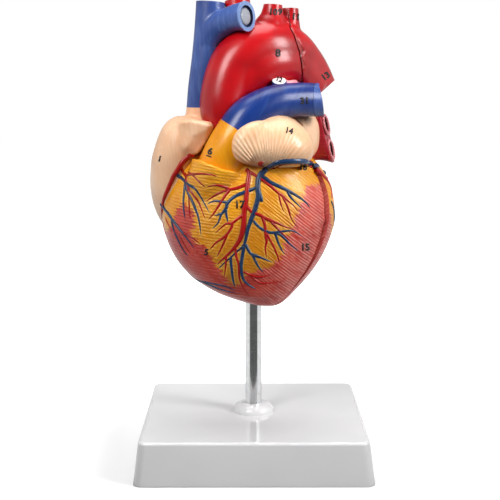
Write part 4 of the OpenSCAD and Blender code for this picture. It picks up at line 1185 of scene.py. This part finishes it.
def left_auricle_form():
    """Scalloped pouch over the root of the pulmonary trunk."""
    form = fuse([blob(LEFT_AURICLE, 2.1), vessel(AURICLE_LOBE, points=48)], voxel=0.6, relax=20)
    points = coords(form)
    out = normals(form)
    angle = np.arctan2(points[:, 0] - RIB_CENTRE[0], points[:, 2] - RIB_CENTRE[1])
    far = np.hypot(points[:, 0] - RIB_CENTRE[0], points[:, 2] - RIB_CENTRE[1])
    share = np.clip((far - 8) / 8, 0, 1) * np.clip(-out[:, 1] * 1.6 - 0.15, 0, 1)
    share = share * np.clip((103 - points[:, 2]) / 18, 0.1, 1) * np.clip((30 - points[:, 0]) / 20, 0.25, 1)
    wave = np.sin(rib_phase(angle))
    move_to(form, points + out * (0.1 * wave * share)[:, None])
    attribute(form, "fan", rib_phase(angle))
    attribute(form, "share", share)
    return form


def rib_phase(angle):
    return angle * RIB_COUNT + 2.2 * np.sin(angle * 5.3) + 1.4 * np.sin(angle * 11.7 + 1)


atrium_form = right_atrium_form()
ear_form = left_auricle_form()


def copy_of(thing):
    """A copy with its own mesh."""
    made = thing.copy()
    made.data = thing.data.copy()
    bpy.context.scene.collection.objects.link(made)
    return made


# Places and half widths of the relief vessels, filled while they are made.
front_spots = []
rear_spots = []


def relief_piece(cords, body, slot, paint, name, node):
    thing = join(cords)
    soften(thing, 60)
    thing.data.materials.append(PAINT[paint])
    piece(thing, name, body, slot, node)


def relief_vessels():
    """Coronary arteries and heart veins in relief, front and back."""
    both = join([copy_of(front_form), cut(copy_of(atrium_form), [], FRONT), copy_of(ear_form)])
    tree = tree_of(both)
    clear([both])
    for routes, *labels in (
        (RED_ROUTES, "coronary_red", "coronary", "coronary_relief", "coronary_arteries"),
        (BLUE_ROUTES, "cardiac_vein_blue", "dark_vein", "heart_vein_relief", "cardiac_veins"),
    ):
        relief_piece(routes_on(tree, routes, front_spots), "heart_front", *labels)
    for backs, radius, sides, around, *labels in (
        (BACK_ARTERIES, 1.9, REAR_RED_ROUTES, ((2, 36), (70, 73), (2.8, 2.4)),
         "coronary_red", "coronary", "posterior_artery_relief", "posterior_coronary_arteries"),
        (BACK_VEINS, 1.7, REAR_BLUE_ROUTES, ((-2, 38), (73.5, 72.2), (3.4, 4.8)),
         "cardiac_vein_blue", "dark_vein", "coronary_sinus_relief", "coronary_sinus"),
    ):
        cords = back_routes_on(rear_tree, backs, radius, rear_spots) + routes_on(rear_tree, sides, rear_spots)
        relief_piece([*cords, round_route_on(rear_tree, *around, rear_spots)], "heart_rear", *labels)


def paint_fat(thing, spots, front):
    """Marks where the fat lies and where painted shade darkens it, and raises beds beside the vessels."""
    points = coords(thing)
    pixels = pixels_of(points)
    reach = inside_by(pixels, FAT_EDGE)
    fat = np.clip(0.5 + reach / 12, 0, 1)
    near = near_vessels(thing, spots)
    if not front:
        height = points[:, 2]
        band = np.clip(0.5 + (height - 60) / 16, 0, 1)
        along = np.clip(1.15 - near / 9, 0, 1)
        fat = np.clip(np.maximum(band, along * (height > 18)), 0, 1)
    attribute(thing, "fat", fat)
    attribute(thing, "near", near)
    attribute(thing, "side", np.clip((pixels[:, 0] - 225) / 60, 0, 1) if front else np.full(len(points), 0.8))
    # mask for painted shade, growing towards the lower right of the front
    low = np.clip((pixels[:, 1] - 190) / 70, 0, 1) * np.clip((pixels[:, 0] - 200) / 30, 0, 1)
    attribute(thing, "fat_low", low)
    ridge = 0.22 * np.exp(-((near - 1.1) / 0.6) ** 2)
    outer = normals(thing)
    move_to(thing, points + outer * ridge[:, None])


def build_ventricles():
    socket = round_bar([0, 0, -10], [0, 0, SOCKET_TOP], SOCKET_R + 0.1)
    coats = ("fat", "ventricle_room", "muscle_cut")
    paint_fat(front_form, front_spots, True)
    finished(cut(copy_of(front_form), ROOMS, FRONT), ROOMS, coats,
             "front_ventricle_shell", "heart_front", "fat_yellow", "front_ventricles")
    paint_fat(rear_form, rear_spots, False)
    finished(cut(copy_of(rear_form), ROOMS + [socket], REAR), ROOMS, coats,
             "rear_ventricle_shell", "heart_rear", "muscle_red", "rear_ventricles")
    clear([socket])


def end_block(path, size=14):
    """Block beyond the end of a centre line, which cuts the tube off square."""
    keys = smooth(path, 9)
    way = unit(keys[-1, :3] - keys[-2, :3])
    across = unit(np.cross(way, [0.3, 1, 0.2]))
    up = np.cross(way, across)
    corners = [keys[-1, :3] + a * across + b * up + c * way
               for a, b, c in product((-size, size), (-size, size), (0, 12))]
    return link("end_block", corners, BOX_FACES)


def side_wall(route, gap):
    """Region right of a pixel route, drawn out along the way the front half slides off."""
    points = [(u + gap, v) for u, v in route]
    points += [(WALL_RIGHT, route[-1][1]), (WALL_RIGHT, route[0][1])]
    base = np.array([at_depth(u, v, -28) for u, v in points])
    way = -SEAM_BACK / SEAM_BACK[1]
    return skin("wall", np.array([base + way * WALL_FRONT, base - way * WALL_BACK]))


def unite(thing, other):
    """Adds the other form."""
    boolean(thing, "UNION", other)
    bake(thing)
    return thing


def build_atria():
    coats = ("tan", "atrium_room", "atrium_cut")
    rings = ROOMS[2:4]
    build_right_auricle(coats, rings)
    whole = fuse([blob(RIGHT_ATRIUM, 2.3)], relax=6)
    left_whole = fuse([blob(LEFT_ATRIUM, 2.3)], relax=6)
    lower = bore(LOWER_CAVA)
    room = blob(RIGHT_ATRIUM, 2.2, ATRIUM_WALL, steps=5)
    finished(cut(copy_of(whole), [room, rear_form, lower, *rings], REAR), [room, lower, *rings], coats,
             "right_atrium_shell", "heart_rear", "atrium_tan", "right_atrium")
    left_room = blob(LEFT_ATRIUM, 2.2, ATRIUM_WALL, steps=5)
    lung_bores = [bore(p) for p in RIGHT_LUNG_VEINS]
    holes = [*lung_bores, *left_vein_openings()]
    left = cut(copy_of(left_whole), [left_room, rear_form, *holes, rings[0]], REAR)
    finished(left, [left_room, *holes, rings[0]], coats,
             "left_atrium_shell", "heart_rear", "atrium_tan", "left_atrium")
    build_left_auricle()
    ends = [end_block(LOWER_CAVA), *(end_block(p, 8.4) for p in RIGHT_LUNG_VEINS)]
    cava = cut(fuse([vessel(LOWER_CAVA, reach=3)], relax=2), [lower, whole, rear_form, ends[0]])
    finished(cava, [lower], ("blue", "blue_lumen", "blue"),
             "lower_cava", "heart_rear", "vein_blue", "inferior_vena_cava")
    veins = fuse([vessel(p, reach=3) for p in RIGHT_LUNG_VEINS], relax=2)
    finished(cut(veins, [*lung_bores, left_whole, whole, rear_form, *ends[1:]]), lung_bores,
             ("lung_vein", "red_lumen", "lung_vein"),
             "right_lung_veins", "heart_rear", "lung_vein_red", "right_pulmonary_veins")
    build_left_lung_veins(left_whole)
    clear([room, lower, whole, left_whole, left_room, *holes, *ends])


def build_right_auricle(coats, rings):
    """Front wall of the right atrium, up to the foot of the upper vein."""
    room = blob(RIGHT_ATRIUM, 2.2, ATRIUM_WALL, steps=5)
    cava_bore = bore(CAVA)
    foot = slab(CAVA_FOOT_H - 250, CAVA_FOOT_H)
    shell = cut(copy_of(atrium_form), [room, cava_bore, front_form, *rings], FRONT)
    finished(cut(shell, [], foot), [room, cava_bore, *rings], coats,
             "right_auricle_shell", "heart_front", "atrium_tan", "right_auricle")
    clear([room, cava_bore, foot])


def build_left_auricle():
    trunk = vessel(PULMONARY)
    finished(cut(copy_of(ear_form), [front_form, trunk], FRONT), [], ("auricle", "auricle", "atrium_cut"),
             "left_auricle_shell", "heart_front", "atrium_tan", "left_auricle", angle=50)
    clear([trunk])


def left_vein_openings():
    return [round_bar([x - 14, 0, h], [x + 6, 0, h], LUNG_VEIN_R, 40) for x, h in LEFT_LUNG_OPENINGS]


def torus(centre, way, radius, thick):
    """Raised ring around an opening."""
    across = unit(np.cross(way, [0, 0.1, 1]))
    up = np.cross(way, across)
    verts = []
    faces = []
    big, small = 48, 12
    for i in range(big):
        a = 2 * math.pi * i / big
        out = math.cos(a) * across + math.sin(a) * up
        for k in range(small):
            b = 2 * math.pi * k / small
            verts.append(centre + out * (radius + thick * math.cos(b)) + way * thick * math.sin(b))
            faces.append((i * small + k, i * small + (k + 1) % small, (i + 1) % big * small + (k + 1) % small,
                          (i + 1) % big * small + k))
    return link("torus", verts, faces)


def build_left_lung_veins(atrium):
    """Two veins in one flat stub, cut off at a slant, each opening with a raised rim painted pale pink as a
    highlight.
    """
    top, foot = LEFT_LUNG_END
    middle = (top[1] + foot[1]) / 2
    tall = (top[1] - foot[1]) / 2
    turn = 0.28
    rings = []
    for step in (0, 0.2, 0.35, 0.5, 0.7, 0.85, 0.96, 1):
        size = 1 - 0.12 * math.sin(math.pi * step) - (0.04 if step == 1 else 0)
        ring = []
        for k in range(64):
            a = 2 * math.pi * k / 64
            h = middle + size * tall * math.copysign(abs(math.sin(a)) ** 0.75, math.sin(a))
            end = foot[0] + (top[0] - foot[0]) * (h - foot[1]) / (top[1] - foot[1])
            wide = size * (LUNG_VEIN_R + 2.2) * math.copysign(abs(math.cos(a)) ** 0.8, math.cos(a))
            ring.append((end + turn * wide - 16 * (1 - step), wide, h))
        rings.append(ring)
    form = skin("stub", np.array(rings))
    openings = left_vein_openings()
    finished(cut(form, [*openings, atrium, rear_form]), openings, ("lung_vein", "lumen", "lung_vein"),
             "left_lung_veins", "heart_rear", "lung_vein_red", "left_pulmonary_veins", angle=30)
    way = unit(np.array([top[1] - foot[1], -turn * (top[1] - foot[1]), foot[0] - top[0]]))
    places = [np.array([x - 0.1, 0, h]) for x, h in LEFT_LUNG_OPENINGS]
    # rims painted pale pink as a highlight
    rims = join([torus(place, way, LUNG_VEIN_R + 0.4, 0.85) for place in places])
    rims.data.materials.append(PAINT["pale_rim"])
    soften(rims, 60)
    piece(rims, "left_vein_rims", "heart_rear", "lung_vein_red")
    clear(openings)


def build_great_vessels():
    """Aorta with the three arteries of the arch, then the veins and lung arteries beside it."""
    coats = ("crimson", "red_lumen", "dull_red")
    bores = [bore(AORTA, reach=14), bore(BRACHIOCEPHALIC), bore(CAROTID, 1.6), bore(SUBCLAVIAN, 1.6)]
    ends = [prism(AORTA_END, -60, 60), end_block(BRACHIOCEPHALIC, 9), end_block(CAROTID, 6.4),
            end_block(SUBCLAVIAN, 6)]
    branches = [vessel(p, reach=3) for p in (BRACHIOCEPHALIC, CAROTID, SUBCLAVIAN)]
    aorta = fuse([vessel(AORTA, reach=7), *branches, vessel(ARCH_INNER)], voxel=0.65, relax=30)
    attribute(aorta, "torn", np.zeros(len(aorta.data.vertices)))
    trunk = vessel(PULMONARY)
    wall = side_wall(ARCH_SEAM, 0)
    finished(cut(copy_of(aorta), [*bores, front_form, trunk, wall, *ends], FRONT), bores, coats,
             "arch_front", "heart_front", "artery_red",
             "ascending_aorta", "brachiocephalic_artery", "left_carotid_artery")
    wall_in = side_wall(ARCH_SEAM, ARCH_STEP)
    behind = unite(copy_of(REAR), wall_in)
    keep = slab(ARCH_FOOT_H, 250)
    rear = cut(paint_torn(copy_of(aorta)), [*bores, *ends], behind)
    finished(cut(rear, [], keep), bores, coats,
             "arch_rear", "heart_rear", "artery_red", "descending_aorta", "left_subclavian_artery")
    clear([*bores, *ends, wall, wall_in, behind, keep, trunk])
    build_upper_cava(aorta)
    build_lung_arteries()
    clear([aorta])


def paint_torn(form):
    """Rough strip beside the seam of the arch, where the rear half's cut edge shows."""
    points = coords(form)
    reach = inside_by(pixels_of(points), TORN_STRIP)
    seen = normals(form)[:, 1] < 0.2
    torn = np.clip(0.5 + reach / 3, 0, 1) * seen
    form.data.attributes["torn"].data.foreach_set("value", torn.astype(np.float32))
    move_to(form, points - normals(form) * (0.7 * np.clip((torn - 0.35) / 0.3, 0, 1))[:, None])
    return form


def build_upper_cava(aorta_form):
    cava_form = fuse([vessel(CAVA, reach=3), vessel(VEIN, reach=3)], voxel=0.65, relax=8)
    above = slab(CAVA_FOOT_H, 300)
    bores = [bore(CAVA), bore(VEIN)]
    ends = [end_block(CAVA, 8.6), end_block(VEIN, 9)]
    cava = cut(cava_form, [*bores, *ends], above)
    cava = cut(cava, [aorta_form], FRONT)
    facing(cava, bores, ("blue", "blue_lumen", "blue", "pale_blue"))
    end = np.array(VEIN[-1][:3])
    way = unit(end - smooth(VEIN, 9)[-2, :3])
    recoat(cava, 3, lambda place, now: now == 0 and (place - end) @ way > -0.9 and math.dist(place, end) < 10)
    soften(cava)
    piece(cava, "upper_cava", "heart_front", "vein_blue", "superior_vena_cava", "brachiocephalic_vein")
    clear([above, *bores, *ends])
    build_end_disc(end, way)


def build_end_disc(end, way):
    """Domed grey plug set back in the open end of the vein."""
    dome = ((-2.2, 3.4), (-2.1, 4.3), (-1.3, 4.6), (-0.7, 4.4), (-0.45, 3.8), (-0.3, 2.6), (-0.25, 0.6))
    keys = np.array([[*(end + way * back), radius] for back, radius in dome])
    disc = skin("disc", tube_rings(keys, 40, 0))
    stem = vessel([[*(end - way * 9), 6], [*(end - way * 2), 6.2]])
    plug = join([disc, stem])
    plug.data.materials.append(PAINT["disc"])
    plug.data.materials.append(PAINT["blue_lumen"])
    recoat(plug, 1, lambda place, now: (place - end) @ way <= -1.95 or math.dist(place, end) >= 6)
    soften(plug, 50)
    piece(plug, "vein_plug", "heart_front", "disc_grey", "vein_end_disc")


def build_lung_arteries():
    """Pulmonary trunk with its yellow root in front, the lung arteries behind."""
    spur = [[13.5, -33, 113.6, 9.2], [24, -28, 114.3, 9.2], [33, -24, 114.1, 9.1], [41, -21, 113.8, 9]]
    form = fuse([vessel(PULMONARY), vessel(spur)], voxel=0.65, relax=3)
    inside = bore(PULMONARY)
    stump = vessel([[12, -33.2, 113.7, 6.8], [22, -28.8, 114.2, 7.1], [46, -19.5, 113.6, 7]])
    wall = side_wall(LUNG_ARTERY_SEAM, 0)
    trunk = cut(copy_of(form), [inside, stump, front_form, wall], FRONT)
    facing(trunk, [inside, stump], ("navy", "blue_lumen", "blue", "root"))
    before, ring, after = (np.array(PULMONARY[ROOT_RINGS + step][:3]) for step in (-1, 0, 1))
    way = unit(after - before)
    split_at(trunk, ring + 0.7 * way, way, 0, 3)
    soften(trunk)
    piece(trunk, "pulmonary_stem", "heart_front", "vein_blue", "pulmonary_trunk", "pulmonary_root")
    wall_in = side_wall(LUNG_ARTERY_SEAM, TRUNK_STEP)
    behind = unite(copy_of(REAR), wall_in)
    bores = [bore(PULMONARY[7:]), bore(RIGHT_LUNG_ARTERY)]
    end = prism(LUNG_ARTERY_END + [(360, 130), (360, 70)], -60, 20)
    cap = end_block(RIGHT_LUNG_ARTERY, 9)
    branches = [vessel(PULMONARY[7:]), vessel(spur), vessel(RIGHT_LUNG_ARTERY, reach=3)]
    rear = cut(fuse(branches, voxel=0.65, relax=3), [*bores, stump, end, cap], behind)
    finished(rear, [*bores, stump], ("blue", "blue_lumen", "blue"),
             "lung_arteries", "heart_rear", "vein_blue", "left_pulmonary_artery", "right_pulmonary_artery")
    build_ligament(form)
    clear([form, inside, stump, wall, wall_in, end, behind, cap, *bores])


def build_ligament(trunk):
    """Cut stump on the trunk with a white end, and the pale band beside it."""
    stump = [[13.2, -27, 117, 3.9], [13.4, -29, 121, 3.8], [13.5, -31.2, 124.7, 3.75]]
    upper = [[11, -28.2, 124.5, 1.9], [17, -27.5, 123.4, 1.7], [22, -26, 121, 1.8]]
    lower = [[9, -26, 117, 3], [18, -24, 121, 3.4], [23, -21, 122, 3]]
    form = fuse([vessel(stump), vessel(upper), vessel(lower)], voxel=0.4, relax=3)
    made = cut(form, [trunk], FRONT)
    facing(made, [], ("ligament", "ligament", "dull_red", "tag", "navy"))
    end = np.array(stump[-1][:3])
    way = unit(end - np.array(stump[-2][:3]))

    def away(place):
        return np.linalg.norm(np.cross(place - end, way))

    recoat(made, 4, lambda place, now: away(place) < 4.2)
    recoat(made, 3, lambda place, now: (place - end) @ way > -0.7 and away(place) < 3.6)
    soften(made)
    piece(made, "ligament_band", "heart_front", "lung_vein_red", "ligamentum_arteriosum")


def split_at(thing, point, way, index, past):
    """Faces before a plane take another material, with a clean edge at the plane."""
    work = bmesh.new()
    work.from_mesh(thing.data)
    place = Vector((point + [0, 0, HEART_Z]) * MM)
    bmesh.ops.bisect_plane(work, geom=work.verts[:] + work.edges[:] + work.faces[:], plane_co=place,
                           plane_no=Vector(way), dist=1e-6)
    for face in work.faces:
        if face.material_index == index and (face.calc_center_median() - place) @ Vector(way) < 0:
            face.material_index = past
    work.to_mesh(thing.data)
    work.free()


def build_inner_parts():
    """Papillary muscles. Valves and cords keep their CAD form."""
    rooms = join([copy_of(ROOMS[0]), copy_of(ROOMS[1])])
    muscles = cut(fuse([vessel(p, points=40) for p in PAPILLARY], voxel=0.6, relax=3), [], rooms)
    muscles = cut(muscles, [], REAR)
    muscles.data.materials.clear()
    muscles.data.materials.append(PAINT["papillary"])
    soften(muscles)
    piece(muscles, "papillary_cones", "heart_rear", "papillary_red", "papillary_muscles")
    clear([rooms])


def nearest_hit(trees, u, v):
    """Place just above the nearest of these surfaces behind a pixel, and its distance from the camera."""
    best = None
    for tree in trees:
        place, normal, _, distance = tree.ray_cast(Vector(EYE) * MM, pixel_ray(u, v))
        if place is not None and (best is None or distance < best[1]):
            best = (place + normal * FIGURE_LIFT * MM, distance)
    return best


def drawn(text):
    """Flat mesh of a figure, finely divided."""
    curve = bpy.data.curves.new("figure", "FONT")
    curve.body = text
    curve.align_x = "CENTER"
    curve.align_y = "CENTER"
    curve.offset = 0.042
    curve.resolution_u = 3
    writing = bpy.data.objects.new("figure", curve)
    bpy.context.scene.collection.objects.link(writing)
    bpy.context.view_layer.update()
    mesh = bpy.data.meshes.new_from_object(writing.evaluated_get(bpy.context.evaluated_depsgraph_get()))
    bpy.data.objects.remove(writing)
    work = bmesh.new()
    work.from_mesh(mesh)
    bmesh.ops.triangulate(work, faces=work.faces[:])
    bmesh.ops.subdivide_edges(work, edges=work.edges[:], cuts=1)
    work.to_mesh(mesh)
    work.free()
    return mesh


def laid(trees, text, u, v, size, turn):
    """Figure laid on the nearest of these surfaces, as seen from the camera."""
    mesh = drawn(text)
    c, s = math.cos(math.radians(turn)), math.sin(math.radians(turn))
    middle = nearest_hit(trees, u, v)[1]
    for vertex in mesh.vertices:
        x, y = vertex.co.x * size, vertex.co.y * size
        across, down = u + x * c - y * s, v - x * s - y * c
        best = nearest_hit(trees, across, down)
        if best is None or best[1] > middle + FIGURE_JUMP * MM:
            best = (Vector(EYE) * MM + pixel_ray(across, down) * middle, middle)
        vertex.co = best[0]
    figure = bpy.data.objects.new("figure", mesh)
    bpy.context.scene.collection.objects.link(figure)
    return figure


def build_figures():
    """Plain figures laid on the surfaces where the photograph has them."""
    shown = {"heart_front": [], "heart_rear": []}
    for thing in bpy.context.scene.objects:
        body = thing.get("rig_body")
        own = thing.type == "MESH" and thing.name not in frame["nodes"]
        if own and body in shown and not thing.hide_render:
            shown[body].append(tree_of(thing))
    for name, body, wanted in (("front_figures", "heart_front", True), ("rear_figures", "heart_rear", False)):
        made = join([laid(shown[body], text, u, v, height * FIGURE_SCALE, turn)
                     for text, (u, v), height, turn, front in FIGURES if front == wanted])
        thick = made.modifiers.new("thick", "SOLIDIFY")
        thick.thickness = FIGURE_THICK * MM
        thick.offset = 0
        bake(made)
        made.data.materials.clear()
        made.data.materials.append(PAINT["ink"])
        piece(made, name, body, "magnet_nickel")


def dress_cad_nodes():
    """Paints the CAD nodes that show as they are."""
    for coat, nodes in CAD_COATS.items():
        for node in nodes:
            thing = frame["nodes"][node]
            thing.data.materials.clear()
            thing.data.materials.append(PAINT[coat])


relief_vessels()
build_ventricles()
build_atria()
build_great_vessels()
build_inner_parts()
dress_cad_nodes()
build_figures()
clear([FRONT, REAR, *ROOMS, front_form, rear_form, atrium_form, ear_form])
for leftover in [o for o in bpy.context.scene.objects if o.type == "MESH" and "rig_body" not in o]:
    bpy.data.objects.remove(leftover)


# ---------- studio ----------

SENSOR = 36             # millimetres
FILL_LIGHT = 0.14
DARK_SIDE = (-0.66, -0.5)   # the room behind the camera is dark below, bright above this Y of a direction
FLOOR = 3.0

def build_camera():
    right, up, ahead = camera_axes()
    lens = bpy.data.cameras.new("camera")
    lens.sensor_width = SENSOR
    lens.lens = FOCAL * SENSOR / FRAME
    lens.clip_end = 20
    view = bpy.data.objects.new("camera", lens)
    place = Matrix((right, up, -ahead)).transposed().to_4x4()
    place.translation = Vector(EYE) * MM
    view.matrix_world = place
    bpy.context.scene.collection.objects.link(view)
    bpy.context.scene.camera = view


def lamp(name, place, target, size, power, spread=180):
    light = bpy.data.lights.new(name, "AREA")
    light.shape = "RECTANGLE"
    light.size, light.size_y = size
    light.energy = power
    light.spread = math.radians(spread)
    thing = bpy.data.objects.new(name, light)
    thing.location = place
    thing.rotation_euler = (Vector(target) - Vector(place)).to_track_quat("-Z", "Y").to_euler()
    thing.visible_camera = False
    bpy.context.scene.collection.objects.link(thing)


def background(tree, colour, strength=1.0):
    return filled(tree, "Background", [("Color", colour)], Strength=strength).outputs[0]


def build_world():
    """White backdrop with weak fill light, and in reflections a room with dark sides."""
    world = bpy.data.worlds.new("studio")
    bpy.context.scene.world = world
    world.use_nodes = True
    tree = world.node_tree
    tree.nodes.clear()
    rays = new_node(tree, "LightPath").outputs
    sides = filled(tree, "SeparateXYZ", [(0, new_node(tree, "TexCoord").outputs["Generated"])]).outputs
    room = ramp(tree, sides["Y"], *DARK_SIDE, 0.12, 1.0)
    room = maths(tree, "MULTIPLY", room, ramp(tree, sides["Y"], 0.42, 0.62, 1.0, 0.45))
    room = maths(tree, "MULTIPLY", room, ramp(tree, sides["Z"], 0.3, 0.6, 1.0, 0.3))
    fill = background(tree, (0.97, 0.98, 1), FILL_LIGHT)
    lit = mixed(tree, rays["Is Glossy Ray"], fill, background(tree, room))
    through = maths(tree, "MAXIMUM", rays["Is Camera Ray"], rays["Is Transmission Ray"])
    filled(tree, "OutputWorld", [("Surface", mixed(tree, through, lit, background(tree, (1, 1, 1))))])


def build_floor():
    """Pale floor that keeps the soft shadow and fades into the white backdrop."""
    mesh = bpy.data.meshes.new("floor")
    corners = [(-FLOOR, -FLOOR), (FLOOR, -FLOOR), (FLOOR, FLOOR), (-FLOOR, FLOOR)]
    mesh.from_pydata([(x, y, -0.0002) for x, y in corners], [], [(0, 1, 2, 3)])
    floor = bpy.data.objects.new("floor", mesh)
    bpy.context.scene.collection.objects.link(floor)
    coat = bpy.data.materials.new("floor_white")
    coat.use_nodes = True
    tree = coat.node_tree
    tree.nodes.clear()
    rays = new_node(tree, "LightPath").outputs
    place = new_node(tree, "TexCoord").outputs["Object"]
    far = filled(tree, "VectorMath", [(0, place)], operation="LENGTH").outputs["Value"]
    glow = filled(tree, "Emission", [("Strength", ramp(tree, far, 0.09, 0.3, 0.1, 1.0))]).outputs[0]
    pale = filled(tree, "BsdfDiffuse", [("Color", (0.95, 0.95, 0.95))]).outputs[0]
    seen = filled(tree, "AddShader", [(0, pale), (1, glow)]).outputs[0]
    way = filled(tree, "VectorMath", [(0, place)], operation="NORMALIZE").outputs["Vector"]
    side = filled(tree, "SeparateXYZ", [(0, way)]).outputs["Y"]
    mirrored = filled(tree, "Emission", [("Strength", ramp(tree, side, *DARK_SIDE, 0.12, 0.95))]).outputs[0]
    dim = filled(tree, "BsdfDiffuse", [("Color", (0.24, 0.24, 0.24))]).outputs[0]
    unseen = mixed(tree, rays["Is Glossy Ray"], dim, mirrored)
    filled(tree, "OutputMaterial", [("Surface", mixed(tree, rays["Is Camera Ray"], unseen, seen))])
    mesh.materials.append(coat)


build_camera()
build_world()
build_floor()
lamp("key", (-0.24, -0.34, 0.48), (0.0, -0.02, 0.24), (0.2, 0.3), 0.45, 75)
lamp("side", (0.48, -0.26, 0.44), (0, 0, 0.25), (0.2, 0.36), 0.74, 75)
lamp("top", (0.0, 0.12, 1.2), (0, 0, 0.1), (0.8, 0.8), 9)
bpy.context.scene.view_settings.view_transform = "Standard"
